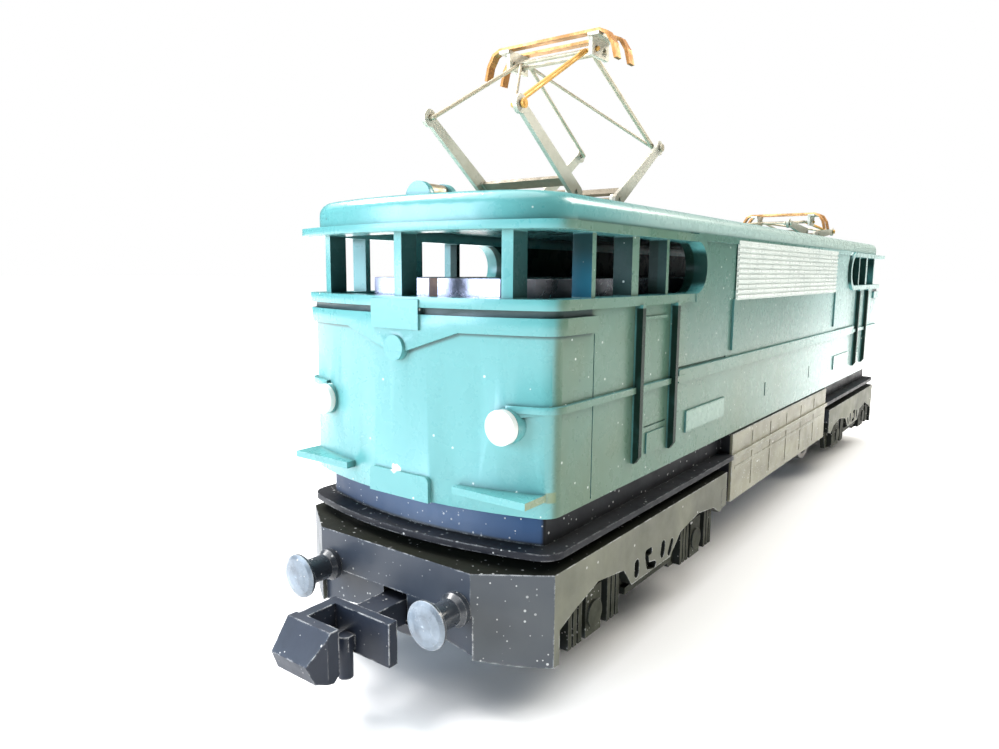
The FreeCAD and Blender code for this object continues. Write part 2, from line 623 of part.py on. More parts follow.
# ------------------------------------------------------------------ bogies
def wheelset(sy, dy):
    # two wheels with stub axles, and the insulating sleeve that joins them
    y = sy * (D["pivot_y"] + dy)
    ws = []
    for rot in (ALONG_X, ALONG_MX):
        b = rev([
            (0, 0.1), ("stub_rad", 0.1), ("stub_rad", "back_half - 0.35"), (1.5, "back_half - 0.35"), (1.5, "back_half"),
            ("flange_rad - 0.25", "back_half"), ("flange_rad", "back_half + 0.2"), ("flange_rad - 0.1", "back_half + 0.45"),
            ("tread_rad + 0.1", "back_half + 0.65"), ("tread_rad", "back_half + 0.8"), ("tread_rad - 0.05", "back_half + wheel_wid"),
            ("tread_rad - 0.75", "back_half + wheel_wid"), ("tread_rad - 0.9", "back_half + wheel_wid - 0.45"),
            (1.5, "back_half + wheel_wid - 0.6"), (1.3, "back_half + wheel_wid - 0.1"), (0.6, "back_half + wheel_wid - 0.1"),
            (0.6, "back_half + wheel_wid + 0.5"), (0, "back_half + wheel_wid + 0.7"),
        ])
        place(b, 0, y, "axle_z", rot)
        ws.append(b)
    return group(*ws), y


def bogie(sy, tag):
    s = 1 if sy < 0 else -1          # all solids are written for the front bogie and turned half round for the rear
    pv = D["pivot_y"]

    def put(o):
        if sy > 0:
            if isinstance(o, Part.Shape):
                return turned(o)
            o.Placement = FreeCAD.Placement(V(0, 0, 0), FreeCAD.Rotation(V(0, 0, 1), 180)).multiply(o.Placement)
        return o

    bh, bt, by, bf = D["bogie_half"], D["bogie_top"], D["beam_y"], D["beam_half"]
    fy, ry = D["facet_y"], D["bogie_rear"]
    # plan outline: beam, chamfered corners, parallel sides
    plan = [(-bf, -by), (bf, -by), (bh, -fy), (bh, -ry), (-bh, -ry), (-bh, -fy)]
    top = poly([(x, y, bt - 0.9) for x, y in plan], (0, 0, 0.9))
    # front wall: upper beam band full thickness, lower apron set back
    t = 1.3
    inner = [(-bf + 0.5, -by + t), (bf - 0.5, -by + t), (bh - t, -fy + 0.55), (bh - t, -ry + 5), (-bh + t, -ry + 5), (-bh + t, -fy + 0.55)]
    wall = poly([(x, y, 3.35) for x, y in plan], (0, 0, bt - 3.35)).cut(poly([(x, y, 3.0) for x, y in inner], (0, 0, bt)))
    wall = wall.common(B(-12, 12, -60, -fy + 0.6, 0, 20))
    # apron: below the beam band the front face is set back in the middle
    wall = wall.cut(poly([(-bf - 0.1, -by - 1, 6.35), (bf + 0.1, -by - 1, 6.35), (bf + 0.1, -by + 0.42, 6.35), (-bf - 0.1, -by + 0.42, 6.35)], (0, 0, -4)))
    low = [(0, 4.4), (4.0, 4.15), (bf, 3.75), (8.5, 3.42), (11.0, 3.35)]
    rim = [(-x, z) for x, z in low[::-1]] + low[1:]
    wall = wall.cut(poly([(x, -by - 1, z) for x, z in rim] + [(11.0, -by - 1, 3.0), (-11.0, -by - 1, 3.0)], (0, 4.2, 0)))
    # side frames in the YZ plane
    prof_side = [
        (-fy - 0.0, bt), (-ry, bt), (-ry, 6.3), (-ry - 1.4, 5.7), (-ry - 2.9, 6.5), (-ry - 6.2, 6.9), (-ry - 9.6, 6.4), (-ry - 11.4, 5.0),
        (-pv - 3.4, 5.0), (-pv - 4.6, 6.4), (-pv - 8.0, 6.85), (-pv - 10.6, 6.1), (-fy + 0.35, 5.35), (-fy + 0.1, 3.35), (-fy, 3.35)]
    frame = [top, wall]
    for sx in (-1, 1):
        x0, x1 = (bh - 1.3, bh) if sx > 0 else (-bh, -bh + 1.3)
        frame.append(poly([(x0, y, z) for y, z in prof_side], (x1 - x0, 0, 0)))

        def out(a, b, y0, y1, z0, z1):
            # block on this side between two distances out from the middle
            return B(min(sx * a, sx * b), max(sx * a, sx * b), y0, y1, z0, z1)

        # back plate behind the springs, its lower edge following the axle boxes
        back = [(-fy + 0.1, bt - 0.5), (-ry, bt - 0.5), (-ry, 6.5), (-ry - 1.3, 5.6), (-ry - 2.2, 3.5), (-pv + 4.3, 3.5), (-pv + 3.7, 4.3),
                (-pv - 3.7, 4.3), (-pv - 4.3, 3.45), (-pv - 12.7, 3.45), (-fy + 0.1, 4.5)]
        frame.append(poly([(sx * (bh - 1.3), y, z) for y, z in back], (sx * 0.55, 0, 0)))
        frame.append(out(bh - 0.8, bh - 0.35, -pv - 3.7, -pv + 3.7, 4.3, 4.8))
        for ya in (-pv - D["axle_off"], -pv + D["axle_off"]):
            # axle box with round cover between two springs drawn as ribbed blocks
            frame.append(out(bh - 0.8, bh - 0.25, ya - 0.95, ya + 0.95, 3.45, 6.5))
            frame.append(C(0.85, 0.7, sx * (bh - 0.8) - (0.7 if sx < 0 else 0), ya, AZ, V(1, 0, 0)))
            for dy in (-2.35, 2.35):
                for k in (-0.58, 0.0, 0.58):
                    frame.append(out(bh - 0.8, bh - 0.15, ya + dy + k - 0.2, ya + dy + k + 0.2, 3.6, 6.55))
        frame.append(B(min(sx * (bh - 1.2), sx * (bh + 0.02)), max(sx * (bh - 1.2), sx * (bh + 0.02)), -ry - 1.1, -ry, 6.0, 7.6))
    # cross members carrying the gear box cheeks, up to the pivot boss
    ci, co = D["cheek_in"], D["cheek_out"]
    for sx in (-1, 1):
        x0, x1 = (ci, co) if sx > 0 else (-co, -ci)
        frame.append(B(x0, x1, -pv - D["axle_off"] - 2.9, -pv + D["axle_off"] + 2.9, 2.05, bt))
        if sy < 0:
            frame.append(B(x0, x1, -pv - 3.6, -pv + 3.6, bt - 0.1, 12.2))
    frame.append(B(-co, co, -pv - D["axle_off"] - 3.15, -pv - D["axle_off"] - 2.68, 3.0, bt))
    frame.append(C(D["boss_rad"], 1.0, 0, -pv, bt - 0.1, V(0, 0, 1)))
    neck = C(D["boss_rad"], 2.9, 0, -pv, bt - 0.1, V(0, 0, 1))
    frame += [neck.cut(C(4.2, 5, 0, -pv, bt, V(0, 0, 1)))]
    # snap lugs fore and aft over the step in the underframe
    lip = C(D["boss_rad"] + 0.55, 0.4, 0, -pv, 11.3, V(0, 0, 1)).cut(C(4.6, 2, 0, -pv, 11, V(0, 0, 1)))
    for y0, y1 in ((-pv - 7, -pv - 4.4), (-pv + 4.4, -pv + 7)):
        frame.append(lip.common(B(-2.6, 2.6, y0, y1, 11, 12)))
    # coupler pocket: a block with a floor under the shank
    frame.append(B(-1.9, 1.9, -by + 0.5, -by + 4.5, 3.4, bt))
    s0 = frame[0].multiFuse(frame[1:])
    negs = [
        B(-ci, ci, -pv - D["axle_off"] - 2.68, -pv + D["axle_off"] + 3.3, 1, bt - 0.95),
        B(-1.0, 1.0, -by - 1, -by + 4.45, 4.05, 6.3),
        B(-1.35, 1.35, -by + 1.0, -by + 3.6, 4.05, 6.6),
    ]
    if sy < 0:
        negs.append(B(-ci, ci, -pv - 3.3, -pv + 3.3, 1, 13))
        negs.append(C(D["pin_rad"], 20, -10, -pv, zw, V(1, 0, 0)))
        for yy in (-pv, -pv - y_id, -pv + y_id):
            negs.append(C(D["pin_rad"], 2 * co + 1, -co - 0.5, yy, AZ, V(1, 0, 0)))
    for ya in (-pv - D["axle_off"], -pv + D["axle_off"]):
        negs.append(C(D["muff_rad"] + 0.05, 2 * co + 1, -co - 0.5, ya, AZ, V(1, 0, 0)))
        negs.append(B(-co - 0.5, co + 0.5, ya - D["muff_rad"] - 0.05, ya + D["muff_rad"] + 0.05, 1.5, AZ))
        # room for the wheels under the top plate
        for sx in (-1, 1):
            negs.append(C(D["flange_rad"] + 0.35, 3.1, 3.45 if sx > 0 else -6.55, ya, AZ, V(1, 0, 0)))
    for sx in (-1, 1):
        negs.append(C(0.7, 4, sx * D["buffer_x"], -by - 0.5, D["buffer_z"], V(0, 1, 0)))
        # oval and slanted recesses of the brake gear between the axles
        x0 = bh - 0.5 if sx > 0 else -bh - 0.1
        for yy, ya, z0, z1, r in ((-2.7, -2.7, 5.6, 6.2, 0.34), (-1.2, -0.6, 6.5, 6.5, 0.26), (-1.2, -1.0, 6.3, 5.7, 0.24), (-0.9, 0.1, 5.5, 5.3, 0.26), (1.4, 1.5, 5.7, 6.3, 0.34), (2.6, 3.0, 5.4, 6.1, 0.26)):
            u, v = V(x0, -pv + yy, z0), V(x0, -pv + ya, z1)
            negs.append(C(r, 0.6, x0, u.y, u.z, V(1, 0, 0)))
            negs.append(C(r, 0.6, x0, v.y, v.z, V(1, 0, 0)))
            w = V(0, u.z - v.z, v.y - u.y).normalize() * r
            negs.append(poly([(x0, (u + w).y, (u + w).z), (x0, (v + w).y, (v + w).z), (x0, (v - w).y, (v - w).z), (x0, (u - w).y, (u - w).z)], (0.6, 0, 0)))
    s0 = s0.cut(Part.makeCompound(negs)).removeSplitter()
    node("bogie_frame_" + tag, feat(put(s0), "bogie"))

    # keeper plate under the gear box, with saddles that close the axle slots
    kp = [B(-co, co, -pv - D["axle_off"] - 2.9, -pv + D["axle_off"] + 2.9, 1.5, 2.05)]
    for ya in (-pv - D["axle_off"], -pv + D["axle_off"]):
        for sx in (-1, 1):
            x0, x1 = (ci + 0.05, co - 0.05) if sx > 0 else (-co + 0.05, -ci - 0.05)
            kp.append(B(x0, x1, ya - 1.1, ya + 1.1, 2.0, AZ - D["muff_rad"] + 0.6))
    kp = kp[0].multiFuse(kp[1:])
    for ya in (-pv - D["axle_off"], -pv + D["axle_off"]):
        kp = kp.cut(C(D["muff_rad"] + 0.05, 8, -4, ya, AZ, V(1, 0, 0)))
        if sy < 0:
            kp = kp.cut(C(r_ax + 0.5, 2 * ci, -ci, ya, AZ, V(1, 0, 0)))
    node("keeper_plate_" + tag, feat(put(kp), "keeper"))

    # wheel wipers: springy strips from the cheeks to the wheel backs
    wp = []
    for sx in (-1, 1):
        for d in (-1, 1):
            wp.append(poly([(sx * (co + 0.0), -pv, 6.7), (sx * (co + 0.14), -pv, 6.7), (sx * (co + 0.14), -pv + d * 3.6, 6.7), (sx * 3.6, -pv + d * 6.2, 6.7),
                            (sx * 3.46, -pv + d * 6.2, 6.7), (sx * (co + 0.0), -pv + d * 3.7, 6.7)], (0, 0, 0.8)))
    a = wp[0].fuse(wp[1])
    b = wp[2].fuse(wp[3])
    node("wheel_wipers_" + tag, feat(put(Part.makeCompound([a.removeSplitter(), b.removeSplitter()])), "wiper"))

    # buffers
    bufs = []
    for sx in (-1, 1):
        b = rev([(0, 0), (0.7, 0), (0.7, 1.3), (1.02, 1.3), (1.02, 1.65), (0.8, 1.95), (0.8, "buffer_len + 0.55"), (0.95, "buffer_len + 0.75"),
                 ("buffer_rad - 0.1", "buffer_len + 0.85"), ("buffer_rad", "buffer_len + 0.97"), ("buffer_rad", "buffer_len + 1.12"),
                 ("buffer_rad - 0.25", "buffer_len + 1.27"), ("buffer_rad - 0.7", "buffer_len + 1.38"), (0, "buffer_len + 1.42")])
        place(b, sx * D["buffer_x"], -by + 1.3, "buffer_z", ALONG_MY)
        bufs.append(put(b))
    node("buffers_" + tag, group(*bufs))

    # wheelsets
    for which, dy in (("outer", D["axle_off"]), ("inner", -D["axle_off"])):
        g, y = wheelset(sy, dy)
        node("wheels_%s_%s" % (tag, which), g)
        if sy < 0:
            first = (0 if which == "outer" else 180) + half_a
            gr = gear(int(D["teeth_axle"]), 1.8, first, y, AZ).fuse(C(D["muff_rad"], 6.4, -3.2, y, AZ, V(1, 0, 0))).cut(C(D["stub_rad"], 20, -10, y, AZ, V(1, 0, 0)))
            node("axle_gear_%s_%s" % (tag, which), feat(gr, "muff"))
        else:
            b = rev([("stub_rad", 0), ("muff_rad", 0), ("muff_rad", 2.2), ("muff_rad + 0.3", 2.3), ("muff_rad + 0.3", 4.1), ("muff_rad", 4.2), ("muff_rad", 6.4), ("stub_rad", 6.4)])
            place(b, -3.2, y, "axle_z", ALONG_X)
            node("axle_sleeve_%s_%s" % (tag, which), b)

    # hook coupler of the loop-and-hook kind: shank, crossbar, side arm, bevelled hook nose, uncoupling pin
    cp = [
        B(-0.9, 0.9, -50.4, -by + 1.9, 4.15, 5.75),
        C(0.8, 2.5, -1.25, -by + 2.05, 4.95, V(1, 0, 0)),
        B(-2.3, 2.9, -50.9, -50.25, 3.45, 6.05),
        B(-2.3, -1.55, -53.5, -50.3, 4.3, 6.05),
        C(0.45, 2.6, -0.35, -51.25, 2.0, V(0, 0, 1)),
        B(-0.8, 0.1, -51.4, -50.6, 3.7, 4.6),
    ]
    nose = poly([(-2.55, -52.95, 6.05), (-2.55, -53.55, 6.05), (-2.55, -54.75, 4.35), (-2.55, -54.35, 3.25), (-2.55, -53.35, 3.05), (-2.55, -52.95, 3.4)], (3.65, 0, 0))
    nose = nose.cut(poly([(1.2, -54.9, 2.9), (0.35, -54.9, 2.9), (1.2, -53.6, 2.9)], (0, 0, 4)))
    cp.append(nose)
    cps = cp[0].multiFuse(cp[1:]).removeSplitter()
    node("coupler_" + tag, feat(put(cps), "coupler"))
    # coupler return spring: small coil between the rounded shank tail and the front wall of the gear box
    h = Part.makeHelix(0.335, 1.34, 0.5)
    circ = Part.Wire([Part.makeCircle(0.11, V(0.5, 0, 0), V(0, 1, 0))])
    coil = Part.Wire(h).makePipeShell([circ], True, True)
    coil.rotate(V(0, 0, 0), V(1, 0, 0), -90)
    coil.translate(V(0, -by + 2.98, 4.95))
    node("coupler_spring_" + tag, feat(put(coil), "spring"))


bogie(-1, "front")
bogie(1, "rear")

# ------------------------------------------------------------------ pantographs
def pantograph(sy, tag, deg):
    # written about its own centre, front half towards -Y
    yc = sy * D["pan_y"]
    z0, a, l1, l2, c = D["pan_z"], D["pan_base"], D["pan_lower"], D["pan_upper"], D["pan_apex"]
    ax, hx, wr_ = D["pan_arm_x"], D["pan_head_x"], D["wire_rad"]
    th = math.radians(deg)
    kx, kz = a + l1 * math.cos(th), z0 + l1 * math.sin(th)
    ph = math.acos((kx - c) / l2)
    hz = kz + l2 * math.sin(ph)
    print("pantograph", tag, "knee", round(kx, 4), round(kz, 4), "apex", round(hz, 4), "upper angle", round(math.degrees(ph), 4))
    T = V(0, yc, 0)
    rt = D["roof_top"]
    # base: stamped plate on a centre boss, four ears with pivot holes, a small raising lever
    ex = ax - 0.17 - 0.1
    base = [B(-ex, ex, -a - 0.7, -a + 0.5, 30.3, 30.55), B(-ex, ex, a - 0.5, a + 0.7, 30.3, 30.55), B(-1.1, 1.1, -a - 0.2, a + 0.2, 30.3, 30.55),
            B(-ex, 0.7 - ex, -a, a, 30.3, 30.55), B(ex - 0.7, ex, -a, a, 30.3, 30.55),
            C(1.0, 0.62, 0, 0, 29.72, V(0, 0, 1)), B(-0.2, 0.2, -1.9, 0.4, 30.5, 30.9), B(-0.2, 0.2, -2.3, -1.5, 30.7, 31.25)]
    for sx in (-1, 1):
        for s2 in (-1, 1):
            base.append(B(min(sx * (ex - 0.3), sx * ex), max(sx * (ex - 0.3), sx * ex), s2 * a - 0.4, s2 * a + 0.4, 30.35, 31.2))
            base.append(C(0.4, 0.3, ex - 0.3 if sx > 0 else -ex, s2 * a, 31.2, V(1, 0, 0)))
    # feet standing on the roof
    for sx in (-1, 1):
        for s2 in (-1, 1):
            base.append(C(0.42, 0.6, sx * (ex - 0.45), s2 * a, 29.8, V(0, 0, 1)))
    bs = base[0].multiFuse(base[1:])
    for s2 in (-1, 1):
        bs = bs.cut(C(wr_ + 0.05, 10, -5, s2 * a, 31.2, V(1, 0, 0)))
    bs.translate(T)
    bs = bs.cut(NODES["body_shell"].Shape.copy()).removeSplitter()
    node(tag + "_pantograph_base", feat(bs, "panbase"))

    def arm_dir(s2):
        return V(0, s2 * math.cos(th), math.sin(th))

    for s2 in (-1, 1):
        end = "outer" if s2 == sy else "inner"
        p0, p1 = V(0, s2 * a, z0), V(0, s2 * kx, kz)
        d = arm_dir(s2)
        nrm = V(0, -d.z, d.y)
        parts = []
        for sx in (-1, 1):
            xi, xo = (ax - 0.15, ax + 0.15)
            x0 = xi if sx > 0 else -xo
            q = [p0 + nrm * 0.55 - d * 0.25, p0 - nrm * 0.55 - d * 0.25, p1 - nrm * 0.36, p1 + nrm * 0.36]
            parts.append(poly([(x0, v.y, v.z) for v in q], (xo - xi, 0, 0)))
            parts.append(Part.makeCylinder(0.55, xo - xi, V(x0, p0.y - 0.25 * d.y, p0.z - 0.25 * d.z), V(1, 0, 0)))
            parts.append(Part.makeCylinder(0.58, xo - xi, V(x0, p1.y, p1.z), V(1, 0, 0)))
        # pivot rod through the ears and the stiffening cross strip low on the arms
        parts.append(Part.makeCylinder(wr_, 2 * ax + 0.5, V(-ax - 0.25, p0.y, p0.z), V(1, 0, 0)))
        m0 = p0 + d * 1.15
        q = [m0 + nrm * 0.12 - d * 0.4, m0 - nrm * 0.12 - d * 0.4, m0 - nrm * 0.12 + d * 0.4, m0 + nrm * 0.12 + d * 0.4]
        parts.append(poly([(-ax, v.y, v.z) for v in q], (2 * ax, 0, 0)))
        s = parts[0].multiFuse(parts[1:])
        s = s.cut(Part.makeCylinder(wr_ + 0.05, 20, V(-10, p1.y, p1.z), V(1, 0, 0)))
        s.translate(T)
        node("%s_lower_arm_%s" % (tag, end), feat(s.removeSplitter(), "arm"))

        # upper arm: wire frame; knee pins outward, a cross rod at the apex, one diagonal
        p2 = V(0, s2 * c, hz)
        kx_in = ax - 0.15 - 0.1
        def rod(u, v, r):
            dd = v - u
            return Part.makeCylinder(r, dd.Length, u, dd)
        up = []
        for sx in (-1, 1):
            r_ = wr_ if sx < 0 else wr_ + 0.04
            kn = V(sx * (kx_in - r_), p1.y, p1.z)
            hd = V(sx * (hx - 0.75), p2.y, p2.z)
            up.append(rod(kn, hd, r_))
            up.append(Part.makeSphere(r_ + 0.02, kn))
            up.append(Part.makeCylinder(wr_, ax + 0.45 - (kx_in - r_), V(sx * (kx_in - r_), p1.y, p1.z), V(sx, 0, 0)))
            up.append(Part.makeCylinder(0.3, 0.14, V(sx * (ax + 0.27), p1.y, p1.z), V(sx, 0, 0)))
        up.append(Part.makeCylinder(wr_, 2 * hx + 0.7, V(-hx - 0.35, p2.y, p2.z), V(1, 0, 0)))
        kn = V(kx_in - wr_, p1.y, p1.z)
        hd = V(-(hx - 0.75), p2.y, p2.z)
        e0 = kn + (hd - kn) * 0.02
        up.append(rod(e0, hd, wr_ - 0.03))
        u = up[0].multiFuse(up[1:])
        u.translate(T)
        node("%s_upper_arm_%s" % (tag, end), feat(u.removeSplitter(), "frame"))

    # head: two bored brackets with a mounting hole each side, and two contact strips with down-turned horns on top of them
    zs = hz + 0.95
    br = []
    for sx in (-1, 1):
        x0 = sx * hx - 0.15
        br.append(B(x0, x0 + 0.3, -1.2, 1.2, hz - 0.5, zs))
        br.append(B(min(sx * (hx - 0.15), sx * (hx + 0.75)), max(sx * (hx - 0.15), sx * (hx + 0.75)), -1.4, 1.4, zs - 0.22, zs))
        for s2 in (-1, 1):
            br.append(C(0.5, 0.3, x0, s2 * c, hz, V(1, 0, 0)))
    b2 = br[0].multiFuse(br[1:])
    b2 = b2.cut(C(wr_ + 0.05, 20, -10, -c, hz, V(1, 0, 0))).cut(C(wr_ + 0.14, 20, -10, c, hz, V(1, 0, 0)))
    b2.translate(T)
    node(tag + "_head_brackets", feat(b2.removeSplitter(), "bracket"))
    st = []
    for s2 in (-1, 1):
        y0 = s2 * 1.0 - 0.36
        pts = [(-4.3, zs + 0.2), (4.3, zs + 0.2), (4.95, zs - 0.1), (5.45, zs - 0.9), (5.7, zs - 1.95), (5.48, zs - 2.0), (5.22, zs - 0.98), (4.78, zs - 0.27), (4.24, zs),
               (-4.24, zs), (-4.78, zs - 0.27), (-5.22, zs - 0.98), (-5.48, zs - 2.0), (-5.7, zs - 1.95), (-5.45, zs - 0.9), (-4.95, zs - 0.1)]
        st.append(poly([(x, y0, z) for x, z in pts], (0, 0.72, 0)))
    h = Part.makeCompound(st)
    h.translate(T)
    node(tag + "_contact_strips", feat(h, "strips"))


doc.recompute()
pantograph(-1, "front", D["raised_deg"])
pantograph(1, "rear", D["folded_deg"])

# ------------------------------------------------------------------ check and write
doc.recompute()
bad = []
for o in doc.Objects:
    if "Invalid" in o.State or "Error" in o.State:
        bad.append((o.Name, o.State))
for name, o in NODES.items():
    sh = o.Shape
    if sh.isNull() or not sh.isValid() or not sh.Solids:
        bad.append((name, "shape"))
print("bad:", bad)
if bad:
    raise SystemExit("some objects are not sound")
os.makedirs("parts", exist_ok=True)
for name in sorted(NODES):
    o = NODES[name]
    o.Shape.exportStep("parts/" + name + ".step")
    bb = o.Shape.BoundBox
    print("%-28s solids %d  vol %8.2f  x %.2f..%.2f y %.2f..%.2f z %.2f..%.2f" % (name, len(o.Shape.Solids), o.Shape.Volume, bb.XMin, bb.XMax, bb.YMin, bb.YMax, bb.ZMin, bb.ZMax))
print(len(NODES), "nodes")
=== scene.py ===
import bpy
import json
import math
from mathutils import Matrix, Vector


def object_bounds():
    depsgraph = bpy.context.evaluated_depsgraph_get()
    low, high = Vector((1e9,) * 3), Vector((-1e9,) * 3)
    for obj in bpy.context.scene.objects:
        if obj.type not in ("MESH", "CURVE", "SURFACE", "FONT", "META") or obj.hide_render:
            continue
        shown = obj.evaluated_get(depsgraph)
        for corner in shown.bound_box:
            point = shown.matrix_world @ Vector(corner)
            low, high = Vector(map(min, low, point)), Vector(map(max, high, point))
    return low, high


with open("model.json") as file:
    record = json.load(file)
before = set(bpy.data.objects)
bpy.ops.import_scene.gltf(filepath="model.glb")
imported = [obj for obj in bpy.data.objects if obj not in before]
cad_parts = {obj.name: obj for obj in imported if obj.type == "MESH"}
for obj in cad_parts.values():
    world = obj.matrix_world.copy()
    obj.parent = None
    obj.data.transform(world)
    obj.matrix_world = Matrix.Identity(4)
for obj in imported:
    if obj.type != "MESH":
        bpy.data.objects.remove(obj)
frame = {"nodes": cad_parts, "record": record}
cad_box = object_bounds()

MM = 0.001
scene = bpy.context.scene
nodes = frame["nodes"]


# ------------------------------------------------------------------ node-material builder
class Mat:
    def __init__(self, name, base, rough, metal=0.0, coat=0.0, coat_rough=0.1, spec=0.5, sheen=0.0, ior=1.5):
        self.m = bpy.data.materials.new(name)
        self.m.use_nodes = True
        self.t = self.m.node_tree
        self.t.nodes.clear()
        self.out = self.new("ShaderNodeOutputMaterial")
        self.b = self.new("ShaderNodeBsdfPrincipled")
        self.link(self.b.outputs[0], self.out.inputs[0])
        i = self.b.inputs
        i["Base Color"].default_value = (*base, 1)
        i["Roughness"].default_value = rough
        i["Metallic"].default_value = metal
        i["Coat Weight"].default_value = coat
        i["Coat Roughness"].default_value = coat_rough
        i["Specular IOR Level"].default_value = spec
        i["Sheen Weight"].default_value = sheen
        i["IOR"].default_value = ior
        self.base, self.rough = (*base, 1), rough
        self.obj = self.new("ShaderNodeTexCoord").outputs["Object"]
        self.geo = self.new("ShaderNodeNewGeometry")

    def new(self, kind):
        return self.t.nodes.new(kind)

    def link(self, a, b):
        self.t.links.new(a, b)

    def put(self, socket, value):
        if isinstance(value, bpy.types.NodeSocket):
            self.link(value, socket)
        elif isinstance(value, (tuple, list)) and len(value) == 3 and socket.type == "RGBA":
            socket.default_value = (*value, 1)
        else:
            socket.default_value = value

    def noise(self, scale, detail=3.0, rough=0.5, dist=0.0, vec=None):
        n = self.new("ShaderNodeTexNoise")
        self.link(vec or self.obj, n.inputs["Vector"])
        n.inputs["Scale"].default_value = scale
        n.inputs["Detail"].default_value = detail
        n.inputs["Roughness"].default_value = rough
        n.inputs["Distortion"].default_value = dist
        return n.outputs[0]

    def stretch(self, x, y, z, vec=None):
        n = self.new("ShaderNodeMapping")
        self.link(vec or self.obj, n.inputs["Vector"])
        n.inputs["Scale"].default_value = (x, y, z)
        return n.outputs[0]

    def voro(self, scale, vec=None, rand=1.0):
        n = self.new("ShaderNodeTexVoronoi")
        self.link(vec or self.obj, n.inputs["Vector"])
        n.inputs["Scale"].default_value = scale
        n.inputs["Randomness"].default_value = rand
        return n.outputs["Distance"], n.outputs["Color"]

    def maths(self, op, a, b=0.0, c=0.0):
        n = self.new("ShaderNodeMath")
        n.operation = op
        for k, v in enumerate((a, b, c)):
            self.put(n.inputs[k], v)
        return n.outputs[0]

    def ramp(self, v, lo, hi, a=0.0, b=1.0):
        n = self.new("ShaderNodeMapRange")
        n.interpolation_type = "SMOOTHSTEP"
        self.put(n.inputs["Value"], v)
        n.inputs["From Min"].default_value = lo
        n.inputs["From Max"].default_value = hi
        n.inputs["To Min"].default_value = a
        n.inputs["To Max"].default_value = b
        return n.outputs[0]

    def mix(self, fac, a, b, mode="MIX"):
        n = self.new("ShaderNodeMix")
        n.data_type = "RGBA"
        n.blend_type = mode
        self.put(n.inputs[0], fac)
        self.put(n.inputs[6], a)
        self.put(n.inputs[7], b)
        return n.outputs[2]

    def split(self, v):
        n = self.new("ShaderNodeSeparateXYZ")
        self.link(v, n.inputs[0])
        return n.outputs

    def ao(self, dist, samples=6):
        n = self.new("ShaderNodeAmbientOcclusion")
        n.samples = samples
        n.inputs["Distance"].default_value = dist
        return n.outputs["AO"]

    def edge(self, radius, samples=4):
        # 0 on flats, rising at sharp edges
        n = self.new("ShaderNodeBevel")
        n.samples = samples
        n.inputs["Radius"].default_value = radius
        d = self.new("ShaderNodeVectorMath")
        d.operation = "DOT_PRODUCT"
        self.link(n.outputs[0], d.inputs[0])
        self.link(self.geo.outputs["Normal"], d.inputs[1])
        return self.ramp(d.outputs["Value"], 0.995, 0.86)

    def specks(self, scale, size, gate, vec=None):
        d, c = self.voro(scale, vec)
        r = self.split(c)[0]
        on = self.maths("GREATER_THAN", r, gate)
        dot = self.ramp(d, size, size * 0.7)
        return self.maths("MULTIPLY", on, dot)

    def band(self, v, lo, hi, soft=0.05):
        # 1 between two distances in mm, with a soft rim
        return self.maths("MULTIPLY", self.ramp(v, (lo - soft) * MM, (lo + soft) * MM), self.ramp(v, (hi + soft) * MM, (hi - soft) * MM))

    def times(self, *v):
        r = v[0]
        for k in v[1:]:
            r = self.maths("MULTIPLY", r, k)
        return r

    def color(self, v):
        self.put(self.b.inputs["Base Color"], v)

    def roughness(self, v):
        self.put(self.b.inputs["Roughness"], v)

    def bump(self, height, distance, strength=1.0, chain=None):
        n = self.new("ShaderNodeBump")
        n.inputs["Strength"].default_value = strength
        n.inputs["Distance"].default_value = distance
        self.link(height, n.inputs["Height"])
        if chain is not None:
            self.link(chain, n.inputs["Normal"])
        self.link(n.outputs[0], self.b.inputs["Normal"])
        return n.outputs[0]


# ------------------------------------------------------------------ local marks and painted light on some pieces
def tank_and_slab(m, c):
    # pale dust on the tank's sides, a painted bluish reflection on the slab's front, weaker towards -X
    xyz = m.split(m.obj)
    nrm = m.split(m.geo.outputs["Normal"])
    ax, ay = m.maths("ABSOLUTE", xyz[0]), m.maths("ABSOLUTE", xyz[1])
    side = m.times(m.ramp(ay, 16.6 * MM, 16.4 * MM), m.ramp(ax, 9.7 * MM, 9.85 * MM), m.ramp(xyz[2], 11.9 * MM, 11.7 * MM))
    film = m.ramp(m.noise(160, 5, 0.65, 0.0, m.stretch(1, 1.0, 2.2)), 0.25, 0.7, 0.62, 0.95)
    c = m.mix(m.times(side, film), c, (0.30, 0.29, 0.21))
    # painted reflection: forward faces of the slab tinted blue
    front = m.times(m.ramp(m.maths("ABSOLUTE", nrm[1]), 0.5, 0.85), m.ramp(ay, 44.0 * MM, 44.6 * MM), m.ramp(xyz[2], 10.1 * MM, 10.3 * MM))
    c = m.mix(m.times(front, 0.85, m.ramp(xyz[0], -11.0 * MM, 2.0 * MM, 0.55, 1.0)), c, (0.021, 0.064, 0.152))
    wall = m.times(m.ramp(ay, 16.6 * MM, 17.0 * MM), m.ramp(m.maths("ABSOLUTE", nrm[0]), 0.6, 0.9), m.ramp(ax, 10.6 * MM, 10.4 * MM))
    ledge = m.times(m.ramp(xyz[2], 10.15 * MM, 10.05 * MM), m.ramp(ay, 16.6 * MM, 17.0 * MM))
    return c, m.maths("MAXIMUM", wall, m.maths("MULTIPLY", ledge, 0.7))


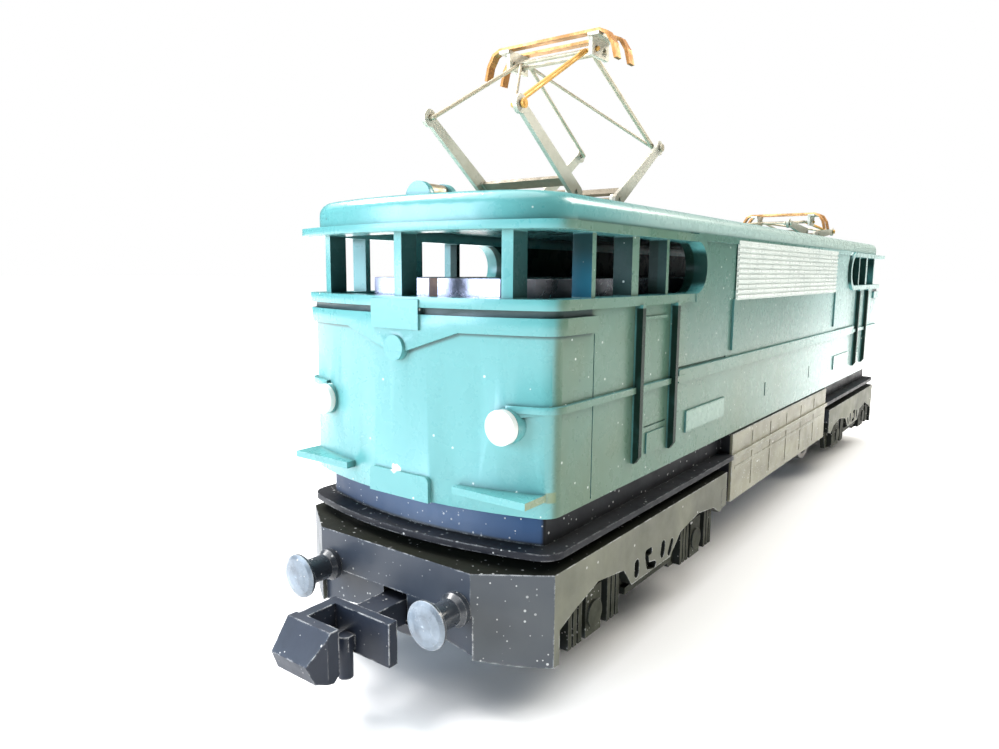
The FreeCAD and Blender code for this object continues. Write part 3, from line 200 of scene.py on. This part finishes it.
def bogie_painted_light(m, c):
    # painted reflection: bluish where the beam faces forward; painted shade: near black on the springs, behind them and
    # on the upward faces
    xyz = m.split(m.obj)
    nrm = m.split(m.geo.outputs["Normal"])
    front = m.ramp(m.maths("ABSOLUTE", nrm[1]), 0.45, 0.8)
    # painted reflection: forward faces tinted blue
    c = m.mix(m.times(front, 0.55), c, (0.045, 0.060, 0.085))
    ax = m.maths("ABSOLUTE", xyz[0])
    # painted shade: near black in the recess behind the springs and, below, on upward faces under the tray
    back = m.times(m.ramp(ax, 10.20 * MM, 10.13 * MM), m.ramp(ax, 8.7 * MM, 8.8 * MM), m.ramp(m.maths("ABSOLUTE", xyz[1]), 45.0 * MM, 44.7 * MM), m.ramp(xyz[2], 7.4 * MM, 7.1 * MM))
    back = m.maths("MAXIMUM", back, m.times(m.ramp(nrm[2], 0.6, 0.9), 0.9))
    return m.mix(m.times(back, m.ramp(m.noise(420, 4, 0.6), 0.25, 0.7, 0.97, 0.7)), c, (0.016, 0.018, 0.012)), back


def buffer_face_highlight(m, c):
    # painted highlight: the domed face is painted a bluish grey, the shank stays black
    xyz = m.split(m.obj)
    nrm = m.split(m.geo.outputs["Normal"])
    face = m.times(m.ramp(m.maths("ABSOLUTE", nrm[1]), 0.55, 0.95), m.ramp(m.maths("ABSOLUTE", xyz[1]), 49.8 * MM, 50.2 * MM))
    return m.mix(m.times(face, m.ramp(m.noise(520, 4, 0.6), 0.25, 0.7, 0.35, 0.95)), c, (0.26, 0.31, 0.36)), 0.0


def brass_rod(m, c):
    x = m.split(m.obj)[0]
    return m.mix(m.ramp(x, 2.2 * MM, 2.6 * MM), c, (0.66, 0.36, 0.085))


def dark_ends(m, c):
    ax = m.maths("ABSOLUTE", m.split(m.obj)[0])
    return m.mix(m.ramp(ax, 4.3 * MM, 5.2 * MM, 0.0, 0.8), c, (0.24, 0.105, 0.03))


def dark_feet(m, c):
    # brown grease low on the arms and on the cross strip
    xyz = m.split(m.obj)
    ax = m.maths("ABSOLUTE", xyz[0])
    low = m.maths("MULTIPLY", m.ramp(xyz[2], 32.6 * MM, 31.3 * MM), 0.55)
    bar = m.times(m.ramp(ax, 3.5 * MM, 3.3 * MM), 0.85)
    return m.mix(m.maths("MAXIMUM", low, bar), c, (0.115, 0.085, 0.045))


# ------------------------------------------------------------------ materials
def shell_plastic():
    # glossy moulded teal plastic: fine orange peel, faint flow marks, painted shade in the joints and recesses, painted
    # light on the sides, a few dust specks
    m = Mat("shell_teal", (0.104, 0.336, 0.336), 0.28, spec=0.5, coat=0.25, coat_rough=0.20)
    big = m.noise(55, 2, 0.5)
    c = m.mix(m.ramp(big, 0.3, 0.7), (0.102, 0.333, 0.333), (0.106, 0.339, 0.338))
    fine = m.noise(900, 4, 0.6)
    c = m.mix(m.ramp(fine, 0.35, 0.75, 0.0, 0.03), c, (0.13, 0.40, 0.37))
    # darker, greener in crevices: painted shade, broken into noise patches of dirt
    occ = m.ao(0.9 * MM, 8)
    dirt_and_shade = m.ramp(occ, 0.82, 0.38)
    patch = m.ramp(m.noise(700, 4, 0.65), 0.30, 0.62)
    c = m.mix(m.maths("MULTIPLY", dirt_and_shade, m.maths("MULTIPLY_ADD", patch, 0.30, 0.58)), c, (0.018, 0.060, 0.052))
    # side faces: painted shade towards the cab, painted sheen towards the far end and on the roof side, then scattered
    # olive scuffs low on the sides
    xyz = m.split(m.obj)
    side = m.ramp(m.maths("ABSOLUTE", xyz[0]), 9.7 * MM, 9.86 * MM)
    ax, ay, z = m.maths("ABSOLUTE", xyz[0]), m.maths("ABSOLUTE", xyz[1]), xyz[2]
    nrm = m.split(m.geo.outputs["Normal"])
    nx, ny = m.maths("ABSOLUTE", nrm[0]), m.maths("ABSOLUTE", nrm[1])
    flat = m.times(m.ramp(ax, 9.3 * MM, 9.8 * MM), m.ramp(nx, 0.72, 0.97), m.ramp(z, 28.7 * MM, 28.4 * MM))
    cloud = m.ramp(m.noise(90, 4, 0.6, 0.4), 0.25, 0.75, 0.8, 1.0)
    # painted shade: side faces darker and greener towards the front cab
    c = m.mix(m.times(flat, cloud, m.ramp(xyz[1], 36.0 * MM, -16.0 * MM, 0.0, 0.92)), c, (0.106, 0.150, 0.090))
    upper = m.times(m.ramp(z, 17.5 * MM, 20.5 * MM), m.ramp(xyz[1], -29.5 * MM, -26.5 * MM), m.ramp(xyz[1], 22.0 * MM, -8.0 * MM))
    # painted shade above the belt
    c = m.mix(m.times(flat, upper, 0.62), c, (0.055, 0.150, 0.128))
    door = m.times(m.band(xyz[1], -35.2, -30.4, 0.2), m.ramp(z, 14.0 * MM, 19.0 * MM, 0.1, 0.4))
    # painted shade on the door, heavier towards the top
    c = m.mix(m.times(flat, door), c, (0.050, 0.145, 0.100))
    # painted sheen: side faces paler towards the far end, mostly on the near side
    c = m.mix(m.times(flat, m.ramp(xyz[1], -4.0 * MM, 38.0 * MM, 0.0, 0.85), m.ramp(xyz[0], -1.0 * MM, 1.0 * MM, 0.15, 1.0)), c, (0.54, 0.69, 0.66))
    # painted sheen: the roof's side edge is paler, mostly on the near side
    cant = m.times(m.ramp(z, 28.5 * MM, 28.7 * MM), m.ramp(ax, 8.3 * MM, 8.9 * MM), m.ramp(xyz[1], -44.0 * MM, -30.0 * MM), m.ramp(nx, 0.15, 0.5))
    c = m.mix(m.times(cant, m.ramp(xyz[1], -40.0 * MM, 20.0 * MM, 0.6, 0.85), m.ramp(xyz[0], -1.0 * MM, 1.0 * MM, 0.15, 1.0)), c, (0.50, 0.61, 0.55))
    scuff = m.times(m.ramp(m.noise(420, 6, 0.72, 1.2), 0.68, 0.74), m.ramp(xyz[1], -20.0 * MM, -30.0 * MM, 0.25, 1.0))
    c = m.mix(m.maths("MULTIPLY", m.maths("MULTIPLY", side, scuff), 0.7), c, (0.105, 0.125, 0.040))
    # painted shade in the slot between the two mouldings and a painted shadow under the lower one
    slot = m.times(m.band(z, 23.15, 23.55, 0.02), m.ramp(ay, 41.0 * MM, 41.4 * MM), m.ramp(occ, 0.97, 0.80))
    t = m.maths("MINIMUM", m.maths("MAXIMUM", m.maths("DIVIDE", m.maths("SUBTRACT", ax, 0.9 * MM), 3.6 * MM), 0.0), 1.0)
    under = m.maths("SUBTRACT", m.maths("MULTIPLY_ADD", t, 1.2 * MM, 21.0 * MM), z)
    under = m.times(m.ramp(under, -0.01 * MM, 0.02 * MM), m.ramp(under, 0.27 * MM, 0.06 * MM), m.ramp(ay, 41.0 * MM, 41.4 * MM), m.ramp(ax, 0.75 * MM, 0.85 * MM))
    c = m.mix(m.maths("MAXIMUM", m.times(slot, 0.88), m.times(under, 0.72)), c, (0.006, 0.030, 0.032))
    # painted shade: the window reveals are dark; the near front reveal has painted bluish light
    win = m.band(z, 24.2, 27.8)
    rv1 = m.times(win, m.ramp(nx, 0.6, 0.85), m.ramp(ax, 9.4 * MM, 9.2 * MM), m.ramp(ay, 43.5 * MM, 43.8 * MM))
    rv2 = m.times(win, m.ramp(ny, 0.6, 0.85), m.ramp(ax, 8.3 * MM, 8.5 * MM), m.ramp(ay, 45.0 * MM, 44.8 * MM))
    c = m.mix(m.times(rv1, 0.86), c, (0.010, 0.030, 0.028))
    first = m.ramp(ay, 39.6 * MM, 40.4 * MM)
    dim = m.maths("MAXIMUM", m.ramp(z, 24.8 * MM, 27.2 * MM, 0.25, 0.9), m.maths("SUBTRACT", 0.93, first))
    rv2 = m.times(rv2, dim, m.ramp(xyz[0], -1.0 * MM, 1.0 * MM, 0.45, 1.0))
    # painted light: bluish on the near front reveal of the first window
    lit = m.times(win, first, m.ramp(ny, 0.6, 0.85), m.ramp(ax, 8.3 * MM, 8.5 * MM), m.ramp(ay, 45.0 * MM, 44.8 * MM), m.ramp(xyz[0], 0.0, 1.0 * MM), m.ramp(xyz[1], 0.0, -1.0 * MM))
    c = m.mix(m.times(lit, 0.9), c, (0.002, 0.120, 0.210))
    c = m.mix(rv2, c, (0.008, 0.024, 0.018))
    end = m.times(win, m.ramp(ax, 9.35 * MM, 9.2 * MM), m.ramp(ax, 8.3 * MM, 8.5 * MM), m.ramp(ay, 34.2 * MM, 33.6 * MM))
    c = m.mix(m.times(end, 0.94), c, (0.008, 0.022, 0.016))
    # painted shade: the door rails are darkened to near black, broken up by noise
    rail = m.maths("MAXIMUM", m.band(ay, 35.2, 35.9, 0.03), m.band(ay, 29.75, 30.45, 0.03))
    rail = m.times(rail, m.ramp(ax, 9.98 * MM, 10.06 * MM), m.band(z, 13.0, 23.4))
    c = m.mix(m.times(rail, m.ramp(m.noise(500, 4, 0.6), 0.2, 0.5, 0.85, 0.98)), c, (0.006, 0.018, 0.012))
    # shallow number plate, paler
    plate = m.times(m.band(xyz[1], -27.0, -19.2, 0.1), m.band(z, 13.95, 15.4, 0.08), m.ramp(ax, 9.97 * MM, 10.03 * MM))
    c = m.mix(m.times(plate, 0.45), c, (0.36, 0.50, 0.44))
    # painted glare: the louvre panel is paler, broken up by noise
    lou = m.times(m.band(ay, -5.0, 17.55), m.band(z, 23.4, 28.3), m.ramp(ax, 9.8 * MM, 9.9 * MM))
    c = m.mix(m.times(lou, m.ramp(m.noise(300, 4, 0.6), 0.2, 0.6, 0.72, 0.88)), c, (0.72, 0.77, 0.73))
    # rubbed ends of the front steps
    cap = m.times(m.band(z, 12.9, 13.5), m.ramp(ax, 8.9 * MM, 9.1 * MM), m.ramp(ay, 44.6 * MM, 44.8 * MM), m.ramp(ay, 47.4 * MM, 47.3 * MM), m.ramp(nx, 0.5, 0.8))
    c = m.mix(m.times(cap, 0.85), c, (0.19, 0.24, 0.12))
    # dust
    white = m.specks(1500, 0.13, 0.86)
    c = m.mix(m.maths("MULTIPLY", white, 0.75), c, (0.75, 0.80, 0.76))
    dark = m.specks(900, 0.085, 0.90)
    c = m.mix(m.maths("MULTIPLY", dark, 0.7), c, (0.03, 0.08, 0.08))
    # one chip low on the middle of the front, where pale plastic shows
    sub = m.new("ShaderNodeVectorMath")
    sub.operation = "SUBTRACT"
    m.link(m.obj, sub.inputs[0])
    sub.inputs[1].default_value = (-0.36 * MM, -46.93 * MM, 13.65 * MM)
    ln = m.new("ShaderNodeVectorMath")
    ln.operation = "LENGTH"
    m.link(m.stretch(1.0, 1.0, 1.5, sub.outputs[0]), ln.inputs[0])
    wob = m.maths("MULTIPLY_ADD", m.noise(2600, 3, 0.6), 0.55 * MM, -0.27 * MM)
    chip = m.ramp(m.maths("ADD", ln.outputs["Value"], wob), 0.40 * MM, 0.33 * MM)
    c = m.mix(chip, c, (0.86, 0.87, 0.80))
    m.color(c)
    m.roughness(m.maths("ADD", m.ramp(fine, 0.3, 0.8, 0.26, 0.32), m.maths("MULTIPLY", dirt_and_shade, 0.3)))
    dull = m.maths("MAXIMUM", m.maths("MAXIMUM", rail, lit), m.maths("MAXIMUM", m.maths("MAXIMUM", end, rv2), rv1))
    # the sides lose their shine towards the cab end, where the side shade is painted
    dull = m.maths("MAXIMUM", dull, m.times(flat, m.ramp(xyz[1], 36.0 * MM, -16.0 * MM, 0.0, 0.68)))
    m.put(m.b.inputs["Specular IOR Level"], m.ramp(dull, 0.0, 1.0, 0.5, 0.08))
    m.put(m.b.inputs["Coat Weight"], m.ramp(dull, 0.0, 0.8, 0.25, 0.0))
    b1 = m.bump(m.noise(200, 2, 0.5), 0.006 * MM, 0.2)
    m.bump(m.noise(3400, 3, 0.5), 0.0015 * MM, 0.4, b1)
    return m.m


def black_plastic(name, base, dust, amount, rough=0.34, gate=0.66, extra=None, spec=0.55, top=None):
    # satin black moulding: bluish black, pale rubbed edges, lint and dust
    m = Mat(name, base, rough, spec=spec)
    mott = m.noise(260, 4, 0.6)
    c = m.mix(m.ramp(mott, 0.25, 0.75), base, tuple(x * 1.5 + 0.002 for x in base))
    film = m.ramp(m.noise(140, 5, 0.6, 0.3), 0.25, 0.75)
    up = m.split(m.geo.outputs["Normal"])
    sideways = m.ramp(m.maths("ABSOLUTE", up[0]), 0.35, 0.9)
    upward = m.ramp(up[2], 0.5, 0.95)
    where = m.maths("MAXIMUM", m.maths("MULTIPLY", sideways, amount), m.maths("MULTIPLY", upward, amount * 0.55 + 0.06 if top is None else top))
    c = m.mix(m.maths("MULTIPLY", m.maths("MULTIPLY_ADD", film, 0.55, 0.45), where), c, dust)
    # painted shade: near black in the recesses
    occ = m.ao(1.3 * MM, 6)
    c = m.mix(m.ramp(occ, 0.75, 0.25), c, (0.006, 0.006, 0.007))
    quiet = 0.0
    if extra:
        c, quiet = extra(m, c)
        m.put(m.b.inputs["Specular IOR Level"], m.ramp(quiet, 0.0, 1.0, spec, 0.06))
    e = m.edge(0.17 * MM, 6)
    worn = m.maths("MULTIPLY", m.maths("MULTIPLY", e, m.ramp(occ, 0.35, 0.7)), m.ramp(m.noise(1100, 5, 0.75), 0.44, 0.60))
    worn = m.maths("MULTIPLY", worn, m.maths("SUBTRACT", 1.0, m.maths("MULTIPLY", quiet, 0.85)))
    c = m.mix(m.maths("MULTIPLY", worn, 0.85), c, (0.55, 0.56, 0.56))
    s1 = m.specks(1900, 0.17, gate)
    s2 = m.specks(850, 0.085, gate)
    lint = m.specks(1000, 0.10, 0.80, m.stretch(1.0, 0.35, 1.0))
    s3 = m.specks(3300, 0.17, 0.80)
    d = m.maths("MAXIMUM", m.maths("MAXIMUM", s1, s2), m.maths("MAXIMUM", lint, s3))
    c = m.mix(m.maths("MULTIPLY", d, m.ramp(m.noise(170, 3, 0.6), 0.35, 0.6, 0.15, 0.85)), c, (0.62, 0.62, 0.60))
    m.color(c)
    r = m.ramp(m.noise(600, 4, 0.6), 0.3, 0.75, rough - 0.08, rough + 0.10)
    m.roughness(m.maths("ADD", r, m.maths("MULTIPLY", where, 0.22)))
    b1 = m.bump(m.noise(420, 3, 0.6), 0.018 * MM, 0.5)
    m.bump(m.maths("ADD", m.noise(3300, 3, 0.6), m.maths("MULTIPLY", d, 0.6)), 0.006 * MM, 0.6, b1)
    return m.m


def metal(name, base, rough, tarnish, amount, brush=None, scale=700, metallic=1.0, spots=0.0, extra=None, relief=1.0):
    # drawn or stamped metal: brush lines, tarnish clouds that gather in the corners, fine scratches
    m = Mat(name, base, rough, metallic)
    cloud = m.ramp(m.noise(scale, 5, 0.65, 0.4), 0.35, 0.68)
    occ = m.ao(0.45 * MM, 5)
    c = m.mix(m.maths("MULTIPLY", cloud, amount), base, tarnish)
    if extra:
        c = extra(m, c)
    c = m.mix(m.maths("MULTIPLY", m.ramp(occ, 0.6, 0.15), 0.55), c, tuple(x * 0.45 for x in tarnish))
    if spots:
        sp = m.specks(1400, 0.2, 0.75)
        c = m.mix(m.maths("MULTIPLY", sp, spots), c, tuple(x * 0.3 for x in tarnish))
    m.color(c)
    m.roughness(m.maths("ADD", m.ramp(m.noise(1800, 3, 0.6), 0.3, 0.7, rough - 0.06, rough + 0.10), m.maths("MULTIPLY", cloud, 0.14)))
    v = m.stretch(*(brush or (1, 1, 1)))
    b1 = m.bump(m.noise(1500, 4, 0.65, 0.0, v), 0.010 * MM, 0.5 * relief)
    m.bump(m.noise(420, 3, 0.5), 0.02 * MM, 0.35 * relief, b1)
    return m.m


def chassis_metal():
    # chemically blackened zinc casting, polished where handled: bright sheen, flow lines, file marks
    m = Mat("chassis_casting", (0.17, 0.17, 0.19), 0.24, 0.85)
    flow = m.noise(210, 5, 0.6, 1.0, m.stretch(1, 0.4, 1))
    c = m.mix(m.ramp(flow, 0.32, 0.7), (0.10, 0.10, 0.115), (0.27, 0.27, 0.30))
    e = m.edge(0.12 * MM)
    c = m.mix(m.maths("MULTIPLY", e, m.ramp(m.noise(800, 3, 0.6), 0.4, 0.6)), c, (0.60, 0.60, 0.60))
    # painted reflection: the end faces are tinted lilac
    ny = m.maths("ABSOLUTE", m.split(m.geo.outputs["Normal"])[1])
    c = m.mix(m.times(m.ramp(ny, 0.75, 0.95), m.ramp(m.noise(380, 4, 0.6), 0.2, 0.5, 0.7, 1.0)), c, (0.34, 0.34, 0.43))
    m.color(c)
    m.roughness(m.ramp(m.noise(520, 4, 0.65), 0.3, 0.75, 0.17, 0.42))
    m.bump(m.noise(300, 5, 0.6), 0.05 * MM, 0.5)
    return m.m


def fibre():
    # brown insulating fibre: pressed layers
    m = Mat("fibre_strip", (0.115, 0.045, 0.020), 0.55)
    lay = m.noise(900, 4, 0.6, 0.0, m.stretch(1, 0.12, 1))
    m.color(m.mix(m.ramp(lay, 0.3, 0.7), (0.075, 0.028, 0.012), (0.17, 0.075, 0.035)))
    m.bump(lay, 0.03 * MM, 0.6)
    return m.m


def lamp_white():
    m = Mat("lamp_white", (0.86, 0.85, 0.79), 0.22, coat=0.4, coat_rough=0.08)
    d = m.noise(900, 4, 0.6)
    c = m.mix(m.ramp(d, 0.4, 0.75, 0.0, 0.5), (0.90, 0.89, 0.84), (0.74, 0.71, 0.60))
    c = m.mix(m.ramp(m.ao(0.5 * MM, 5), 0.8, 0.35), c, (0.30, 0.27, 0.19))
    m.color(c)
    m.bump(m.noise(650, 2, 0.5), 0.02 * MM, 0.4)
    return m.m


def gear_plastic():
    m = Mat("gear_nylon", (0.66, 0.62, 0.50), 0.42)
    c = m.mix(m.ramp(m.noise(500, 4, 0.6), 0.3, 0.7), (0.70, 0.66, 0.54), (0.56, 0.51, 0.38))
    c = m.mix(m.ramp(m.ao(0.6 * MM, 5), 0.75, 0.25), c, (0.13, 0.10, 0.06))
    m.color(c)
    m.bump(m.noise(1200, 3, 0.5), 0.01 * MM, 0.5)
    return m.m


def carbon():
    m = Mat("brush_carbon", (0.02, 0.02, 0.022), 0.6)
    m.color(m.mix(m.ramp(m.noise(1500, 4, 0.6), 0.3, 0.7), (0.015, 0.015, 0.017), (0.05, 0.05, 0.055)))
    m.bump(m.noise(2500, 3, 0.6), 0.01 * MM, 0.6)
    return m.m


def windings():
    # enamelled copper wire laid side by side
    m = Mat("winding_copper", (0.60, 0.24, 0.10), 0.3, 0.9)
    w = m.new("ShaderNodeTexWave")
    w.wave_type = "BANDS"
    w.bands_direction = "X"
    m.link(m.obj, w.inputs["Vector"])
    w.inputs["Scale"].default_value = 900
    w.inputs["Distortion"].default_value = 1.5
    m.color(m.mix(w.outputs["Fac"], (0.33, 0.11, 0.045), (0.72, 0.31, 0.13)))
    m.bump(w.outputs["Fac"], 0.05 * MM, 0.8)
    return m.m


M = {
    "shell_plastic": shell_plastic(),
    "lamp_white": lamp_white(),
    "tube_metal": metal("tube_metal", (0.62, 0.57, 0.46), 0.34, (0.30, 0.24, 0.14), 0.7),
    "chassis_metal": chassis_metal(),
    "insulation": fibre(),
    "black_plastic": black_plastic("black_moulding", (0.011, 0.012, 0.016), (0.20, 0.195, 0.17), 0.06, 0.38, extra=tank_and_slab, spec=0.32),
    "bogie_plastic": black_plastic("bogie_moulding", (0.016, 0.016, 0.019), (0.235, 0.243, 0.170), 0.74, 0.38, extra=bogie_painted_light, spec=0.42, top=0.05),
    "coupler_plastic": black_plastic("coupler_moulding", (0.009, 0.013, 0.023), (0.14, 0.155, 0.18), 0.06, 0.44, 0.84, spec=0.30),
    "buffer_plastic": black_plastic("buffer_moulding", (0.016, 0.020, 0.026), (0.20, 0.22, 0.24), 0.08, 0.26, 0.84, extra=buffer_face_highlight, spec=0.6),
    "screw_steel": metal("screw_steel", (0.50, 0.49, 0.47), 0.32, (0.20, 0.17, 0.13), 0.6),
    "magnet": metal("magnet_ferrite", (0.10, 0.095, 0.09), 0.6, (0.04, 0.04, 0.04), 0.6, metallic=0.3),
    "core_steel": metal("core_steel", (0.40, 0.40, 0.41), 0.38, (0.18, 0.14, 0.11), 0.5, (1, 8, 1)),
    "copper_wire": windings(),
    "brass": metal("turned_brass", (0.72, 0.53, 0.22), 0.28, (0.36, 0.22, 0.08), 0.6, (1, 6, 1)),
    "carbon": carbon(),
    "spring_steel": metal("spring_steel", (0.55, 0.52, 0.46), 0.3, (0.27, 0.22, 0.15), 0.5),
    "gear_plastic": gear_plastic(),
    "wheel_metal": metal("wheel_steel", (0.48, 0.47, 0.45), 0.27, (0.12, 0.10, 0.08), 0.75, (8, 1, 1), 420, spots=0.4),
    "nickel_silver": metal("nickel_silver", (0.58, 0.56, 0.48), 0.46, (0.36, 0.33, 0.24), 0.45, (1, 3, 3), 500, metallic=0.5, spots=0.2),
    "lower_arm": metal("lower_arm_strip", (0.56, 0.54, 0.46), 0.46, (0.38, 0.35, 0.27), 0.40, (1, 3, 3), 500, metallic=0.45, spots=0.15, extra=dark_feet),
    "outer_wire": metal("outer_arm_wire", (0.50, 0.45, 0.34), 0.40, (0.34, 0.27, 0.15), 0.4, (1, 1, 1), 900, metallic=0.5, extra=brass_rod, relief=0.15),
    "wire_brass": metal("arm_wire", (0.50, 0.46, 0.36), 0.40, (0.34, 0.27, 0.16), 0.4, (1, 1, 1), 900, metallic=0.5, relief=0.15),
    "contact_copper": metal("contact_copper", (0.62, 0.33, 0.13), 0.42, (0.30, 0.15, 0.06), 0.6, (5, 1, 1), 420, spots=0.3, extra=dark_ends),
}

slot_of = {s["node"]: s["material_slot"] for s in frame["record"]["subparts"]}
for name, o in nodes.items():
    key = slot_of[name]
    if name in ("coupler_front", "coupler_rear"):
        key = "coupler_plastic"
    if name.startswith("buffers_"):
        key = "buffer_plastic"
    if "_lower_arm_" in name:
        key = "lower_arm"
    if name.endswith("_upper_arm_outer"):
        key = "outer_wire"
    o.data.materials.clear()
    o.data.materials.append(M[key])

# ------------------------------------------------------------------ softened edges on the carried-over pieces
EDGE = {
    "body_shell": 0.07, "underframe": 0.07, "chassis_left": 0.18, "chassis_right": 0.18,
    "bogie_frame_front": 0.07, "bogie_frame_rear": 0.07, "coupler_front": 0.07, "coupler_rear": 0.07,
}
for name, w in EDGE.items():
    o = nodes[name]
    wd = o.modifiers.new("join", "WELD")
    wd.merge_threshold = 0.5e-6
    bv = o.modifiers.new("soft_edges", "BEVEL")
    bv.width = w * MM
    bv.segments = 2
    bv.limit_method = "ANGLE"
    bv.angle_limit = math.radians(32)
    bv.use_clamp_overlap = True
    bv.harden_normals = False

# ------------------------------------------------------------------ floor, light, camera
mesh = bpy.data.meshes.new("floor")
n = 96
verts = [(0, 0, 0)] + [(3.0 * math.cos(2 * math.pi * k / n), 3.0 * math.sin(2 * math.pi * k / n), 0) for k in range(n)]
mesh.from_pydata(verts, [], [(0, k + 1, (k + 1) % n + 1) for k in range(n)])
floor = bpy.data.objects.new("floor", mesh)
floor.location = (0, 0, cad_box[0].z - 0.00002)
scene.collection.objects.link(floor)
fm = Mat("floor_card", (0.90, 0.90, 0.89), 0.8)
fm.color(fm.mix(fm.ramp(fm.noise(14, 3, 0.5), 0.3, 0.7), (0.895, 0.895, 0.89), (0.91, 0.91, 0.905)))
floor.data.materials.append(fm.m)

world = bpy.data.worlds.new("studio")
scene.world = world
world.use_nodes = True
wt = world.node_tree
bg = wt.nodes["Background"]
bg.inputs["Color"].default_value = (0.93, 0.97, 1.0, 1)
bg.inputs["Strength"].default_value = 0.12
page = wt.nodes.new("ShaderNodeBackground")
page.inputs["Color"].default_value = (1.0, 1.0, 1.0, 1)
page.inputs["Strength"].default_value = 1.0
seen = wt.nodes.new("ShaderNodeLightPath")
pick = wt.nodes.new("ShaderNodeMixShader")
wt.links.new(seen.outputs["Is Camera Ray"], pick.inputs[0])
wt.links.new(bg.outputs[0], pick.inputs[1])
wt.links.new(page.outputs[0], pick.inputs[2])
wt.links.new(pick.outputs[0], wt.nodes["World Output"].inputs[0])


def area(name, at, aim, size, power, color=(1, 1, 1), size_y=None):
    l = bpy.data.lights.new(name, "AREA")
    l.energy = power
    l.color = color
    l.shape = "RECTANGLE" if size_y else "SQUARE"
    l.size = size
    if size_y:
        l.size_y = size_y
    o = bpy.data.objects.new(name, l)
    o.location = at
    o.rotation_mode = "QUATERNION"
    o.rotation_quaternion = (Vector(aim) - Vector(at)).to_track_quat("-Z", "Y")
    scene.collection.objects.link(o)
    return o


area("key_front_left", (-0.31, -0.51, 0.14), (0, -0.045, 0.02), 0.38, 3.6, (0.76, 0.91, 1.09), 0.26)
area("lamp_right_rear", (0.14, 0.20, 0.20), (0.01, 0.04, 0.02), 0.14, 0.80, (1.0, 0.96, 0.88), 0.12)
area("box_high_left", (-0.36, -0.04, 0.41), (0, -0.045, 0.03), 0.26, 4.8, (1.0, 0.97, 0.96), 0.20)
sky = bpy.data.lights.new("soft_overhead", "SUN")
sky.energy = 3.5
sky.angle = math.radians(70)
sky_o = bpy.data.objects.new("soft_overhead", sky)
sky_o.rotation_euler = (math.radians(6), math.radians(-6), 0)
scene.collection.objects.link(sky_o)

cam_data = bpy.data.cameras.new("camera")
cam = bpy.data.objects.new("camera", cam_data)
scene.collection.objects.link(cam)
cam_data.sensor_fit = "HORIZONTAL"
cam_data.sensor_width = 36.0
cam_data.lens = 26.447
cam_data.clip_start = 0.001
cam_data.clip_end = 50
cam_data.dof.use_dof = False
az, pit, rol = math.radians(36.685), math.radians(-7.96), math.radians(0.401)
look = Vector((-math.sin(az) * math.cos(pit), math.cos(az) * math.cos(pit), math.sin(pit)))
right = Vector((math.cos(az), math.sin(az), 0))
up = right.cross(look)
R = right * math.cos(rol) + up * math.sin(rol)
U = -right * math.sin(rol) + up * math.cos(rol)
cam.matrix_world = Matrix((
    (R.x, U.x, -look.x, 30.859 * MM),
    (R.y, U.y, -look.y, -78.243 * MM),
    (R.z, U.z, -look.z, 25.607 * MM),
    (0, 0, 0, 1),
))
scene.camera = cam
scene.view_settings.view_transform = "Standard"
scene.view_settings.look = "None"
